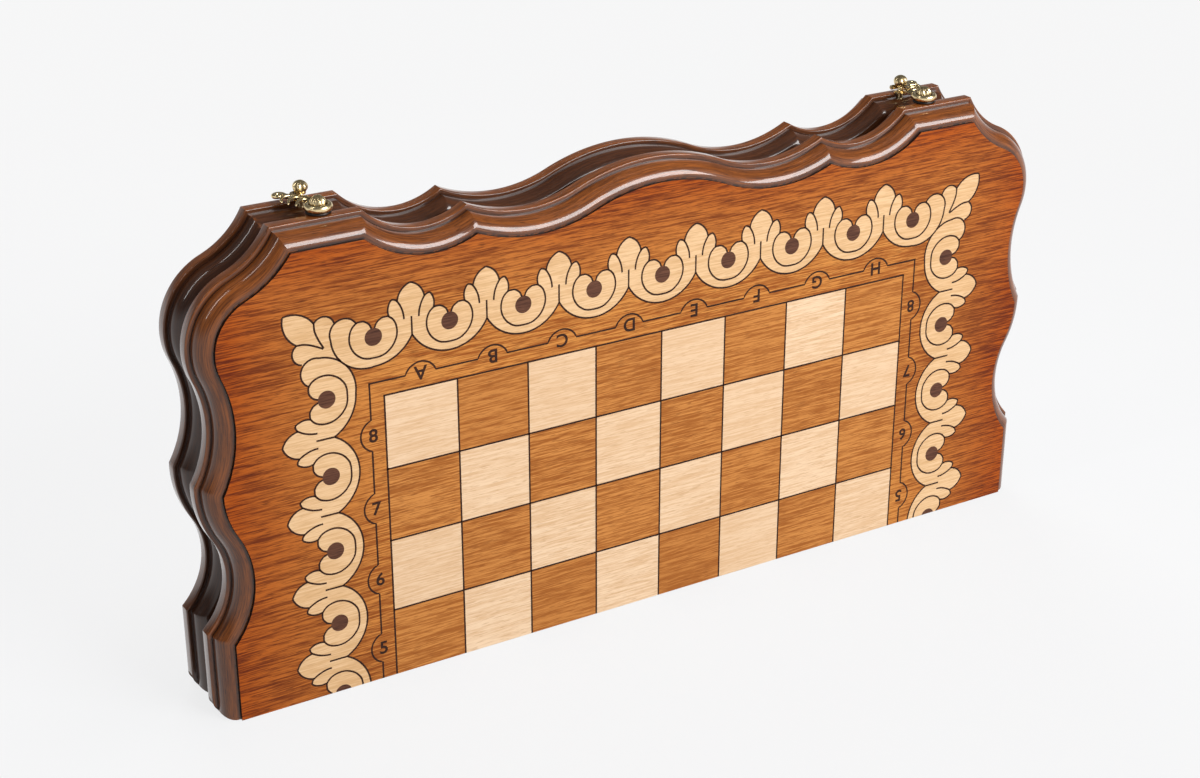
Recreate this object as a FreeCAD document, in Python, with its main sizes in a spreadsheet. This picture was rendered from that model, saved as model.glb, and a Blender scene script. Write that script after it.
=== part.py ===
"""Folding chess and backgammon case, closed and standing on its fold edge.

Frame: X along the fold, Y from the front leaf to the rear leaf, Z up. The origin is on the standing face,
midway between the leaves. Millimetres.
"""
import FreeCAD, Part
import math
import os
from FreeCAD import Placement, Rotation, Vector

FILES = 8
RANKS_PER_LEAF = 4
POINTS_PER_SIDE = 6
BARBS = 3
SIDES = {"left": -1, "right": 1}

# Driving dimensions
SIZES = [
    ("square", 45.0, "side of a chess square"),
    ("saw_cut", 2.3, "part of the fold-side squares lost where the board is sawn in two"),
    ("side_border", 96.0, "face border beside the squares, to the straight part of the edge"),
    ("top_border", 91.9, "face border above the squares, to the plateau"),
    ("leaf_thickness", 31.5, "one leaf, face to rim"),
    ("leaf_gap", 0.3, "play between the leaves, shut or laid open"),
    ("panel_thickness", 6.0, "chess panel"),
    ("panel_fit", 0.1, "play between the chess panel and its rebate"),
    ("inlay_depth", 1.2, "thickness of every inlaid piece"),
    ("quirk", 1.75, "step between the face and the ovolo"),
    ("ovolo", 9.0, "radius of the ovolo"),
    ("neck", 1.25, "straight fillet under the ovolo"),
    ("band_reach", 3.0, "reach of the flat band past the ovolo"),
    ("band_chamfer", 0.8, "eased edge of the band"),
    ("foot_round", 10.0, "rounded outer corner at the fold"),
    ("scallop_depth", 14.0, "depth of the lower side scallop"),
    ("scallop_radius", 58.6, "hollow of the lower side scallop"),
    ("scallop_span", 91.6, "height of the lower side scallop"),
    ("waist_depth", 9.7, "depth of the upper side scallop"),
    ("waist_radius", 80.0, "hollow of the upper side scallop"),
    ("lobe_inset", 1.5, "set-back of the rounded shoulder lobe"),
    ("lobe_radius", 31.0, "rounded shoulder lobe"),
    ("plateau_inset", 47.0, "set-back of the plateau's outer end"),
    ("shoulder_slope", 55.0, "slope where the shoulder meets the plateau, degrees"),
    ("dip_inset", 129.5, "set-back of the dip beside the plateau"),
    ("dip_depth", 15.2, "depth of that dip"),
    ("dip_radius", 62.0, "hollow of that dip"),
    ("hollow_inset", 194.0, "set-back of the hollow beside the crest"),
    ("hollow_depth", 16.7, "depth of that hollow"),
    ("hollow_radius", 96.0, "radius of that hollow"),
    ("side_wall", 14.0, "stile between the tray and the deepest scallop"),
    ("top_wall", 15.0, "top rail between the tray and the deepest dip"),
    ("fold_wall", 15.0, "fold rail"),
    ("base_thickness", 3.0, "backgammon panel"),
    ("point_length", 200.0, "length of a backgammon point"),
    ("point_play", 1.0, "ground left between neighbouring points"),
    ("motif_pitch", 46.2, "spacing of the scroll motifs"),
    ("motif_rise", 35.7, "top row of dots above the squares"),
    ("motif_side", 33.9, "side rows of dots beside the squares"),
    ("side_drop", 1.7, "side rows of motifs, set down towards the fold"),
    ("dot_radius", 5.2, "dark dot in each motif"),
    ("bowl_drop", 17.2, "bowl of a motif, below its dot"),
    ("bowl_joint", 3.3, "joint between two bowls, below the dots"),
    ("lobe_rise", 9.9, "curled lobe beside the dot, a point of it above the dot"),
    ("lobe_place", 5.0, "that point of the curled lobe, beside the dot"),
    ("notch_width", 1.6, "notch between the lobes, at its foot"),
    ("notch_rise", 4.6, "foot of the notch, above the middle of the dot"),
    ("petal_root", 13.4, "root of the side petal, from the crest"),
    ("petal_foot", 9.8, "root of the side petal, above the dots"),
    ("petal_bow", 1.9, "bow of the petals' edges"),
    ("petal_reach", 11.7, "tip of the side petal, from the crest"),
    ("petal_rise", 19.0, "tip of the side petal, above the dots"),
    ("crest_root", 8.2, "root of the crest petal, from its middle"),
    ("crest_foot", 17.6, "root of the crest petal, above the dots"),
    ("crest_rise", 27.2, "tip of the crest petal, above the dots"),
    ("curl_reach", 24.9, "end curl of a row, beside its dot"),
    ("curl_rise", 14.1, "end curl of a row, above its dot"),
    ("curl_place", 17.3, "top of the end curl, beside its dot"),
    ("curl_lift", 3.0, "outermost point of the end curl, above its dot"),
    ("leaf_tip", 52.2, "corner leaf tip, from midway between the end dots"),
    ("leaf_root", 8.0, "corner leaf root, from midway between the end dots"),
    ("leaf_belly", 44.0, "belly of the corner leaf, from midway between the end dots"),
    ("leaf_belly_width", 6.8, "half the width of the corner leaf there"),
    ("leaf_neck", 34.9, "neck between corner leaf and petal, from midway between the end dots"),
    ("leaf_neck_width", 7.4, "half the width of the corner leaf there"),
    ("leaf_petal", 33.0, "round of the leaf's petal, from midway between the end dots"),
    ("leaf_petal_width", 13.4, "half the width over both petals there"),
    ("leaf_heel", 25.0, "where a petal meets the curl, from midway between the end dots"),
    ("leaf_heel_width", 14.0, "half the width over both petals there"),
    ("leaf_hold", 16.3, "hold of the leaf behind the curl, from midway between the end dots"),
    ("leaf_hold_width", 13.1, "half the width of that hold"),
    ("hinge_place", 170.0, "hinge from the middle of the fold"),
    ("hinge_width", 24.0, "hinge block along the fold"),
    ("hinge_depth", 12.0, "hinge block, square section"),
    ("pivot_reach", 4.35, "pivot from the rim and from the standing face"),
    ("link_width", 6.4, "hinge link"),
    ("link_thickness", 4.0, "hinge link along the fold"),
    ("link_play", 0.35, "room round the link in its slot"),
    ("pin_radius", 1.5, "hinge pin"),
    ("running_play", 0.05, "radial play of a turning fit"),
    ("latch_place", 204.0, "latch from the middle of the top edge"),
    ("latch_span", 23.4, "hook pivot to keeper post, across the gap between the leaves"),
    ("washer_radius", 7.0, "washer under a hook"),
    ("washer_thickness", 1.5, "washer under a hook"),
    ("ring_radius", 8.3, "round end of a hook"),
    ("hook_thickness", 3.0, "hook plate"),
    ("screw_radius", 1.9, "shank of the pivot screw"),
    ("screw_length", 14.0, "shank of the pivot screw in the rail"),
    ("screw_head", 5.2, "radius of the pivot screw's dome"),
    ("post_radius", 1.8, "keeper post"),
    ("knob_rise", 9.5, "middle of the keeper knob above the band"),
    ("flange_radius", 4.2, "keeper flange"),
    ("flange_thickness", 1.0, "keeper flange"),
    ("knob_radius", 4.6, "keeper knob"),
    ("hook_play", 0.4, "room between a hook and its keeper post"),
    ("arm_width", 4.0, "hook arm beside the keeper post"),
    ("arm_bow", 1.0, "sideways bow of the hook arm"),
    ("barb_reach", 23.0, "root of the last barb from the pivot"),
    ("barb_spread", 2.6, "how much farther each barb reaches than the one before"),
    ("barb_drop", 5.5, "how far a barb leans back"),
    ("barb_width", 2.5, "thickest part of a barb"),
    ("finger_reach", 4.5, "hook finger past the keeper post"),
    ("finger_width", 3.6, "hook finger behind the keeper post"),
    ("bud_radius", 3.6, "rounded grip beside the hook's end"),
]

doc = FreeCAD.newDocument("chess_backgammon_case")
sheet = doc.addObject("Spreadsheet::Sheet", "Sizes")
for row, (alias, value, meaning) in enumerate(SIZES, start=1):
    sheet.set(f"A{row}", alias)
    sheet.set(f"B{row}", str(value))
    sheet.set(f"C{row}", meaning)
    sheet.setAlias(f"B{row}", alias)
doc.recompute()
size = {alias: float(sheet.get(alias)) for alias, _, _ in SIZES}

# Sizes that follow from the driving ones
HALF_GRID = FILES / 2 * size["square"]
GRID_TOP = RANKS_PER_LEAF * size["square"] - size["saw_cut"]
HALF_WIDTH = HALF_GRID + size["side_border"]
PLATEAU = GRID_TOP + size["top_border"]
THICKNESS = size["leaf_thickness"]
RIM = -size["leaf_gap"] / 2
FACE = RIM - THICKNESS
MOULDING = size["ovolo"] + size["band_reach"]
BAND_TOP = PLATEAU + MOULDING
TRAY_HALF = HALF_WIDTH - size["scallop_depth"] - size["side_wall"]
TRAY_TOP = PLATEAU - size["hollow_depth"] - size["top_wall"]
TRAY_FLOOR = FACE + size["panel_thickness"] + size["base_thickness"]
LATCH_Y = -size["latch_span"] / 2
PIVOT_Y = RIM - size["pivot_reach"]
OVERCUT = 2.0

REAR = Placement(Vector(0, 0, 0), Rotation(Vector(0, 0, 1), 180))
LEAVES = {"front": Placement(), "rear": REAR}


def at(point, depth):
    """A point of the face plane, (x, z), at a depth along Y."""
    return Vector(point[0], depth, point[1])


def named(kind, label):
    """A document object whose Label names its piece."""
    thing = doc.addObject(kind, label)
    thing.Label = label
    return thing


def solid(label, shape, placement=None):
    """A piece whose shape is worked out from the sheet's values."""
    thing = named("Part::Feature", label)
    thing.Shape = shape
    if placement is not None:
        thing.Placement = placement
    return thing


def bind(thing, **properties):
    """Tie properties of an object to cells of the sheet."""
    for name, formula in properties.items():
        thing.setExpression(name.replace("__", "."), formula)


# The scalloped edge: lines and tangent arcs from the fold corner to the middle of the crest
class Line:
    """Straight stretch of the edge: a point on it and its outward normal."""

    def __init__(self, point, normal):
        self.point = point
        self.normal = normal

    def shifted(self, offset):
        return (self.point[0] + offset * self.normal[0], self.point[1] + offset * self.normal[1])


class Arc:
    """Round stretch of the edge: side is 1 where it bulges out and -1 where it is hollow."""

    def __init__(self, centre, radius, side):
        self.centre = centre
        self.radius = radius
        self.side = side

    def grown(self, offset):
        return self.radius + self.side * offset


def edge_curves():
    """The stretches of the right half of the edge, and a point near each place where two of them meet."""
    low = size["scallop_radius"]
    waist = Arc((HALF_WIDTH - size["waist_depth"] + size["waist_radius"], GRID_TOP), size["waist_radius"], -1)
    cusp = GRID_TOP - math.sqrt(waist.radius ** 2 - (waist.centre[0] - HALF_WIDTH) ** 2)
    toe = cusp - size["scallop_span"]
    belly = toe + math.sqrt(low ** 2 - (low - size["scallop_depth"]) ** 2)
    scallop = Arc((HALF_WIDTH - size["scallop_depth"] + low, belly), low, -1)
    swell_radius = ((cusp - belly) ** 2 + (low - size["scallop_depth"]) ** 2 - low ** 2)
    swell_radius = swell_radius / (2 * size["scallop_depth"])
    swell = Arc((HALF_WIDTH - swell_radius, cusp), swell_radius, 1)
    lobe_x = HALF_WIDTH - size["lobe_inset"] - size["lobe_radius"]
    reach = waist.radius + size["lobe_radius"]
    lobe_z = GRID_TOP + math.sqrt(reach ** 2 - (waist.centre[0] - lobe_x) ** 2)
    lobe = Arc((lobe_x, lobe_z), size["lobe_radius"], 1)
    corner = (HALF_WIDTH - size["plateau_inset"], PLATEAU)
    slope = math.radians(size["shoulder_slope"])
    away = (corner[0] - lobe.centre[0], corner[1] - lobe.centre[1])
    along = away[0] * math.sin(slope) + away[1] * math.cos(slope)
    shoulder_radius = (away[0] ** 2 + away[1] ** 2 - lobe.radius ** 2) / (2 * (lobe.radius - along))
    shoulder_x = corner[0] + shoulder_radius * math.sin(slope)
    shoulder = Arc((shoulder_x, corner[1] + shoulder_radius * math.cos(slope)), shoulder_radius, -1)
    dip = Arc((HALF_WIDTH - size["dip_inset"], PLATEAU - size["dip_depth"] + size["dip_radius"]),
              size["dip_radius"], -1)
    hollow = Arc((HALF_WIDTH - size["hollow_inset"], PLATEAU - size["hollow_depth"] + size["hollow_radius"]),
                 size["hollow_radius"], -1)
    crest_radius = hollow.centre[0] ** 2 + (hollow.centre[1] - PLATEAU) ** 2 - hollow.radius ** 2
    crest_radius = crest_radius / (2 * size["hollow_depth"])
    crest = Arc((0.0, PLATEAU - crest_radius), crest_radius, 1)
    curves = [Line((HALF_WIDTH, 0.0), (1.0, 0.0)), scallop, swell, waist, lobe, shoulder,
              Line(corner, (0.0, 1.0)), dip, hollow, crest]
    dip_end = dip.centre[0] + math.sqrt(dip.radius ** 2 - (dip.centre[1] - PLATEAU) ** 2)
    between = ((dip.centre[0] + hollow.centre[0]) / 2, PLATEAU - size["dip_depth"])
    sharp_low = [(HALF_WIDTH, toe), None, (HALF_WIDTH, cusp), None, None]
    sharp_high = [corner, (dip_end, PLATEAU), between, None]
    return curves, sharp_low + sharp_high


CURVES, NEAR = edge_curves()


def meeting(first, second, offset, near):
    """The place where two stretches meet once both are moved outwards by the offset."""
    if near is None:
        ratio = first.grown(offset) / (first.grown(offset) + second.grown(offset))
        return tuple(a + ratio * (b - a) for a, b in zip(first.centre, second.centre))
    arc = second if isinstance(second, Arc) else first
    other = first if arc is second else second
    radius = arc.grown(offset)
    if isinstance(other, Line):
        normal = other.normal
        point = other.shifted(offset)
        level = sum((p - c) * n for p, c, n in zip(point, arc.centre, normal))
    else:
        away = [o - c for o, c in zip(other.centre, arc.centre)]
        length = math.hypot(*away)
        normal = [a / length for a in away]
        level = (length ** 2 + radius ** 2 - other.grown(offset) ** 2) / (2 * length)
    half = math.sqrt(radius ** 2 - level ** 2)
    foot = [c + level * n for c, n in zip(arc.centre, normal)]
    choices = [(foot[0] - s * half * normal[1], foot[1] + s * half * normal[0]) for s in (1, -1)]
    return min(choices, key=lambda p: math.hypot(p[0] - near[0], p[1] - near[1]))


def corners(offset):
    """Ends of the stretches of the right half of the edge at an outward offset, fold first."""
    points = [(HALF_WIDTH + offset, 0.0)]
    points += [meeting(CURVES[i], CURVES[i + 1], offset, NEAR[i]) for i in range(len(NEAR))]
    return points + [(0.0, PLATEAU + offset)]


def round_edge(arc, offset, start, end, depth, flip):
    """Arc edge between two points of a round stretch; flip -1 makes the left half."""
    middle = [(a + b) / 2 - c for a, b, c in zip(start, end, arc.centre)]
    scale = arc.grown(offset) / math.hypot(*middle)
    top = [c + scale * m for c, m in zip(arc.centre, middle)]
    points = [at((flip * p[0], p[1]), depth) for p in (start, top, end)]
    return Part.Arc(*points).toShape()


def outline(offset, depth):
    """Face of the scalloped outline at an outward offset and a depth along Y."""
    points = corners(offset)
    edges = [Part.makeLine(at((-points[0][0], 0.0), depth), at(points[0], depth))]
    for flip in (1, -1):
        for curve, start, end in zip(CURVES, points[:-1], points[1:]):
            if isinstance(curve, Arc):
                edges.append(round_edge(curve, offset, start, end, depth, flip))
            else:
                ends = [at((flip * p[0], p[1]), depth) for p in (start, end)]
                edges.append(Part.makeLine(*ends))
    return Part.Face(Part.Wire(Part.__sortEdges__(edges)))


def slab(offset, start, end):
    """Plate of the scalloped outline between two depths."""
    return outline(offset, start).extrude(Vector(0, end - start, 0))


def moulding_profile(front):
    """What the moulding cutter takes off one side of the edge, as edges in (outward, depth) pairs."""
    ovolo = size["ovolo"]
    turn = size["quirk"] + ovolo
    step = turn + size["neck"]
    reach = MOULDING + OVERCUT
    bend = ovolo * math.sqrt(0.5)
    eased = MOULDING - size["band_chamfer"]
    pairs = [(0.0, size["quirk"]), (bend, turn - bend), (ovolo, turn), (ovolo, step), (eased, step),
             (reach, step + reach - eased), (reach, -OVERCUT), (0.0, -OVERCUT)]
    if front:
        return [(d, FACE + y) for d, y in pairs]
    return [(d, RIM - y) for d, y in pairs]


def profile_face(pairs, place):
    """Closed face of a moulding profile; place turns an (outward, depth) pair into a point."""
    points = [place(*pair) for pair in pairs]
    edges = [Part.Arc(*points[:3]).toShape()]
    loop = points[2:] + points[:1]
    edges += [Part.makeLine(a, b) for a, b in zip(loop[:-1], loop[1:])]
    return Part.Face(Part.Wire(edges))


def moulding_cutters(front):
    """Cutters for one side of the whole edge, one to a stretch, run on past every sharp corner."""
    pairs = moulding_profile(front)
    inner = corners(0.0)
    run_on = MOULDING
    cutters = []
    for flip in (1, -1):
        for i, curve in enumerate(CURVES):
            start, end = inner[i], inner[i + 1]
            sharp_start = i > 0 and NEAR[i - 1] is not None
            sharp_end = i < len(NEAR) and NEAR[i] is not None
            if isinstance(curve, Line):
                length = math.hypot(end[0] - start[0], end[1] - start[1])
                along = [(e - s) / length for s, e in zip(start, end)]
                origin = [s - run_on * a for s, a in zip(start, along)]

                def place(d, y):
                    spot = [o + d * n for o, n in zip(origin, curve.normal)]
                    return at((flip * spot[0], spot[1]), y)

                reach = length + 2 * run_on
                run = at((flip * along[0] * reach, along[1] * reach), 0.0)
                cutter = profile_face(pairs, place).extrude(run)
            else:
                angles = [math.atan2(p[1] - curve.centre[1], p[0] - curve.centre[0]) for p in (start, end)]
                sweep = math.remainder(angles[1] - angles[0], 2 * math.pi)
                turn = math.copysign(run_on / curve.radius, sweep)
                first = angles[0] - (turn if sharp_start else 0.0)
                last = angles[0] + sweep + (turn if sharp_end else 0.0)

                def place(d, y):
                    radius = curve.grown(d)
                    x = curve.centre[0] + radius * math.cos(first)
                    return Vector(flip * x, y, curve.centre[1] + radius * math.sin(first))

                axis = Vector(0, -flip, 0)
                centre = Vector(flip * curve.centre[0], 0, curve.centre[1])
                cutter = profile_face(pairs, place).revolve(centre, axis, math.degrees(last - first))
            cutters.append(cutter)
    return cutters


def box(x_range, y_range, z_range):
    """Box between two corners."""
    low = Vector(x_range[0], y_range[0], z_range[0])
    return Part.makeBox(x_range[1] - x_range[0], y_range[1] - y_range[0], z_range[1] - z_range[0], low)


def prism(points, y_range):
    """Prism of a polygon of (x, z) points between two depths."""
    wire = Part.makePolygon([at(p, y_range[0]) for p in points] + [at(points[0], y_range[0])])
    return Part.Face(wire).extrude(Vector(0, y_range[1] - y_range[0], 0))


def fold_rounding():
    """What the fold corner loses, so that the leaf can roll over its hinge pivots."""
    reach = size["pivot_reach"]
    length = 2 * (HALF_WIDTH + MOULDING + OVERCUT)
    corner = box((-length / 2, length / 2), (RIM - reach, RIM + OVERCUT), (-OVERCUT, reach))
    kept = Part.makeCylinder(reach, length, Vector(-length / 2, PIVOT_Y, reach), Vector(1, 0, 0))
    return corner.cut(kept)


def foot_rounding(flip):
    """What one outer corner at the fold loses to its rounding."""
    radius = size["foot_round"]
    edge = HALF_WIDTH + MOULDING
    x_range = sorted((flip * (edge - radius), flip * (edge + OVERCUT)))
    corner = box(x_range, (FACE - OVERCUT, RIM + OVERCUT), (-OVERCUT, radius))
    length = THICKNESS + 2 * OVERCUT
    start = Vector(flip * (edge - radius), FACE - OVERCUT, radius)
    return corner.cut(Part.makeCylinder(radius, length, start, Vector(0, 1, 0)))


def hinge_mortises():
    """Seats of the two hinge blocks in a leaf."""
    half = size["hinge_width"] / 2
    depth = size["hinge_depth"]
    return [box((side * size["hinge_place"] - half, side * size["hinge_place"] + half),
                (RIM - depth, RIM + OVERCUT), (-OVERCUT, depth)) for side in SIDES.values()]


def latch_holes():
    """Holes in the top band for the pivot screws, or on the rear leaf for the keepers."""
    radius = size["screw_radius"] + size["running_play"]
    length = size["screw_length"] + OVERCUT
    foot = BAND_TOP - size["screw_length"]
    return [Part.makeCylinder(radius, length, Vector(side * size["latch_place"], LATCH_Y, foot))
            for side in SIDES.values()]


def moulded_ring():
    """The four frame pieces of a leaf as one moulded ring, before the joints are cut."""
    blank = slab(MOULDING, FACE, RIM)
    waste = moulding_cutters(True) + moulding_cutters(False)
    waste += [foot_rounding(1), foot_rounding(-1), fold_rounding()] + hinge_mortises() + latch_holes()
    waste.append(slab(0.0, FACE - OVERCUT, FACE + size["panel_thickness"]))
    waste.append(box((-TRAY_HALF, TRAY_HALF), (FACE - OVERCUT, RIM + OVERCUT), (size["fold_wall"], TRAY_TOP)))
    return blank.cut(waste)


def frame_regions():
    """The share of the ring that belongs to each frame piece: mitred at the plateau, butted at the fold."""
    high = BAND_TOP + OVERCUT
    wide = HALF_WIDTH + MOULDING + OVERCUT
    face_corner = corners(0.0)[6]
    band_corner = corners(MOULDING)[6]
    slant = (band_corner[0] - face_corner[0]) / (band_corner[1] - face_corner[1])
    low_x = face_corner[0] + slant * (TRAY_TOP - face_corner[1])
    high_x = face_corner[0] + slant * (high - face_corner[1])
    rail = [(-low_x, TRAY_TOP), (low_x, TRAY_TOP), (high_x, high), (-high_x, high)]
    stile = [(TRAY_HALF, -OVERCUT), (wide, -OVERCUT), (wide, high), (high_x, high), (low_x, TRAY_TOP),
             (TRAY_HALF, TRAY_TOP)]
    fold = [(-TRAY_HALF, -OVERCUT), (TRAY_HALF, -OVERCUT), (TRAY_HALF, size["fold_wall"]),
            (-TRAY_HALF, size["fold_wall"])]
    depth = (FACE - OVERCUT, RIM + OVERCUT)
    return {
        "top_rail": prism(rail, depth),
        "left_stile": prism([(-x, z) for x, z in stile], depth),
        "right_stile": prism(stile, depth),
        "fold_rail": prism(fold, depth),
    }


# The scroll border: one motif, repeated along the top and both sides
def curve_through(*points):
    """Arc edge through three (x, z) points of the face, or a line through two."""
    places = [at(p, FACE) for p in points]
    if len(places) == 2:
        return Part.makeLine(*places)
    return Part.Arc(*places).toShape()


def bulged(start, end, sag):
    """Arc edge between two face points that bows to the left of its run by the sag."""
    run = (end[0] - start[0], end[1] - start[1])
    length = math.hypot(*run)
    aside = (-run[1] * sag / length, run[0] * sag / length)
    middle = tuple((s + e) / 2 + a for s, e, a in zip(start, end, aside))
    return curve_through(start, middle, end)


def lobe_edges(flip):
    """Edges of the curled lobe from the root of the side petal to the notch, whose foot is in the dot."""
    shoulder = (flip * (size["motif_pitch"] / 2 - size["petal_root"]), size["petal_foot"])
    lobe = (flip * size["lobe_place"], size["lobe_rise"])
    foot = (flip * size["notch_width"] / 2, size["notch_rise"])
    return [curve_through(shoulder, lobe, foot), curve_through(foot, (0.0, size["notch_rise"]))]


def palmette_half(flip):
    """Edges from the joint of two bowls, over half a crest and a side petal, to the notch at the dot."""
    half = size["motif_pitch"] / 2
    joint = (flip * half, -size["bowl_joint"])
    tip = (flip * half, size["crest_rise"])
    root = (flip * (half - size["crest_root"]), size["crest_foot"])
    petal = (flip * (half - size["petal_reach"]), size["petal_rise"])
    shoulder = (flip * (half - size["petal_root"]), size["petal_foot"])
    sag = -flip * size["petal_bow"]
    return [curve_through(joint, tip), bulged(tip, root, sag), bulged(root, petal, sag / 4),
            bulged(petal, shoulder, sag / 1.5)] + lobe_edges(flip)


def curl_half(flip):
    """Edges from under the dot, round the end curl of a row, to the notch at the dot."""
    under = (0.0, -size["bowl_drop"])
    bend = math.sqrt(0.5)
    low = (flip * size["curl_reach"] * bend, -size["bowl_drop"] * bend)
    out = (flip * size["curl_reach"], size["curl_lift"])
    top = (flip * size["curl_place"], size["curl_rise"])
    shoulder = (flip * (size["motif_pitch"] / 2 - size["petal_root"]), size["petal_foot"])
    return [curve_through(under, low, out), curve_through(out, top, shoulder)] + lobe_edges(flip)


def motif(ends=()):
    """One motif lying on the face with its dot at the origin; ends names the sides that close with a curl."""
    half = size["motif_pitch"] / 2
    depth = size["bowl_drop"] - size["bowl_joint"]
    radius = (half ** 2 + depth ** 2) / (2 * depth)
    edges = []
    for flip in (1, -1):
        if flip in ends:
            edges += curl_half(flip)
            continue
        turn = math.asin(half / radius) / 2
        mid = (flip * radius * math.sin(turn), -size["bowl_drop"] + radius * (1 - math.cos(turn)))
        edges.append(curve_through((0.0, -size["bowl_drop"]), mid, (flip * half, -size["bowl_joint"])))
        edges += palmette_half(flip)
    face = Part.Face(Part.Wire(Part.__sortEdges__(edges)))
    return face.extrude(Vector(0, size["inlay_depth"], 0))


def placed(shape, centre, quarter):
    """A face piece turned by quarter turns about Y and moved so that its origin is at the centre."""
    turned = shape.copy()
    turned.Placement = Placement(at(centre, 0.0), Rotation(Vector(0, 1, 0), 90 * quarter))
    return turned


def corner_leaf(flip):
    """Slanted leaf with a round petal on each side, on the line midway between the end dots of two rows."""
    last_top = (size["motif_pitch"] * FILES / 2, GRID_TOP + size["motif_rise"])
    last_side = (HALF_GRID + size["motif_side"], size["motif_pitch"] * RANKS_PER_LEAF - size["side_drop"])
    middle = [(a + b) / 2 for a, b in zip(last_top, last_side)]

    def spot(name, side):
        forward = size[name]
        sideways = side * size.get(name + "_width", 0.0)
        bend = math.sqrt(0.5)
        return (flip * (middle[0] + (forward - sideways) * bend), middle[1] + (forward + sideways) * bend)

    edges = []
    for side in (1, -1):
        tip, belly, neck, petal, heel, hold, root = [
            spot(name, side) for name in ("leaf_tip", "leaf_belly", "leaf_neck", "leaf_petal", "leaf_heel",
                                          "leaf_hold", "leaf_root")]
        edges += [curve_through(tip, belly, neck), curve_through(neck, petal, heel), curve_through(heel, hold),
                  curve_through(hold, root)]
    face = Part.Face(Part.Wire(Part.__sortEdges__(edges)))
    return face.extrude(Vector(0, size["inlay_depth"], 0))


def motif_places():
    """Every motif of a leaf: centre, quarter turns and the sides that close with a curl."""
    last = FILES // 2
    places = []
    for k in range(-last, last + 1):
        ends = (1,) if k == last else (-1,) if k == -last else ()
        places.append(((k * size["motif_pitch"], GRID_TOP + size["motif_rise"]), 0, ends))
    for flip in (1, -1):
        for k in range(RANKS_PER_LEAF + 1):
            ends = (-flip,) if k == RANKS_PER_LEAF else ()
            centre = (flip * (HALF_GRID + size["motif_side"]), k * size["motif_pitch"] - size["side_drop"])
            places.append((centre, flip, ends))
    return places


def scroll_inlay():
    """All motifs of a leaf and its corner leaves, cut off at the fold; the top row's curls run through."""
    above = box((-HALF_WIDTH, HALF_WIDTH), (FACE - OVERCUT, RIM), (0.0, BAND_TOP))
    pieces = []
    curls = []
    for centre, quarter, ends in motif_places():
        piece = placed(motif(ends), centre, quarter).common(above)
        if ends and quarter == 0:
            curls.append(piece)
        elif ends:
            piece = piece.cut(curls)
        pieces.append(piece)
    return pieces + [corner_leaf(flip).cut(pieces) for flip in (1, -1)]


def scroll_dots():
    """The dark dots of a leaf, the lowest ones halved at the fold."""
    above = box((-HALF_WIDTH, HALF_WIDTH), (FACE - OVERCUT, RIM), (0.0, BAND_TOP))
    dots = []
    for centre, _, _ in motif_places():
        dot = Part.makeCylinder(size["dot_radius"], size["inlay_depth"], at(centre, FACE), Vector(0, 1, 0))
        dots.append(dot.common(above) if centre[1] < size["dot_radius"] else dot)
    return dots


def squares(light):
    """The light or the dark squares of half a chessboard; the far left square at the top is light."""
    chosen = []
    side = size["square"]
    for file in range(FILES):
        for rank in range(RANKS_PER_LEAF):
            if ((file + rank) % 2 == 0) != light:
                continue
            left = -HALF_GRID + file * side
            top = GRID_TOP - rank * side
            low = max(top - side, 0.0)
            chosen.append(box((left, left + side), (FACE, FACE + size["inlay_depth"]), (low, top)))
    return chosen


def points(light):
    """The light or the dark backgammon points of a leaf, half of them from each end of the tray."""
    floor = TRAY_FLOOR
    pitch = (TRAY_TOP - size["fold_wall"]) / POINTS_PER_SIDE
    chosen = []
    for flip in (1, -1):
        for k in range(POINTS_PER_SIDE):
            if ((k % 2 == 0) == (flip == 1)) != light:
                continue
            low = size["fold_wall"] + k * pitch + size["point_play"] / 2
            high = size["fold_wall"] + (k + 1) * pitch - size["point_play"] / 2
            end = flip * TRAY_HALF
            tip = (flip * (TRAY_HALF - size["point_length"]), (low + high) / 2)
            chosen.append(prism([(end, low), (end, high), tip], (floor - size["inlay_depth"], floor)))
    return chosen


def build_leaf_pieces():
    """The twelve pieces of a leaf, made once in the front leaf's place and set out for both leaves."""
    ring = moulded_ring()
    back = FACE + size["panel_thickness"]
    light, dark = squares(True), squares(False)
    scroll, dots = scroll_inlay(), scroll_dots()
    field = box((-HALF_GRID, HALF_GRID), (FACE - OVERCUT, FACE + size["inlay_depth"]), (-OVERCUT, GRID_TOP))
    panel = slab(-size["panel_fit"], FACE, back).cut([field] + scroll + dots)
    scroll = [piece.cut(dots) for piece in scroll]
    light_points, dark_points = points(True), points(False)
    base = box((-TRAY_HALF, TRAY_HALF), (back, TRAY_FLOOR), (size["fold_wall"], TRAY_TOP))
    pieces = {
        "chess_panel": panel,
        "light_squares": Part.makeCompound(light),
        "dark_squares": Part.makeCompound(dark),
        "scroll_inlay": Part.makeCompound(scroll),
        "scroll_dots": Part.makeCompound(dots),
        "backgammon_panel": base.cut(light_points + dark_points),
        "light_points": Part.makeCompound(light_points),
        "dark_points": Part.makeCompound(dark_points),
    }
    for name, region in frame_regions().items():
        pieces[name] = ring.common(region)
    return pieces


# Formulas that more than one piece of hardware uses
RIM_CELL = "-Sizes.leaf_gap / 2"
PIVOT_CELL = f"({RIM_CELL} - Sizes.pivot_reach)"
SLOT_CELL = "(Sizes.pivot_reach + Sizes.link_width / 2 + Sizes.link_play)"
BAND_CELL = (f"({RANKS_PER_LEAF} * Sizes.square - Sizes.saw_cut + Sizes.top_border"
             " + Sizes.ovolo + Sizes.band_reach)")
LATCH_CELL = "(-Sizes.latch_span / 2)"
ALONG_X = Rotation(Vector(0, 1, 0), 90)
WAYS = {"front": "", "rear": "-"}


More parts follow.
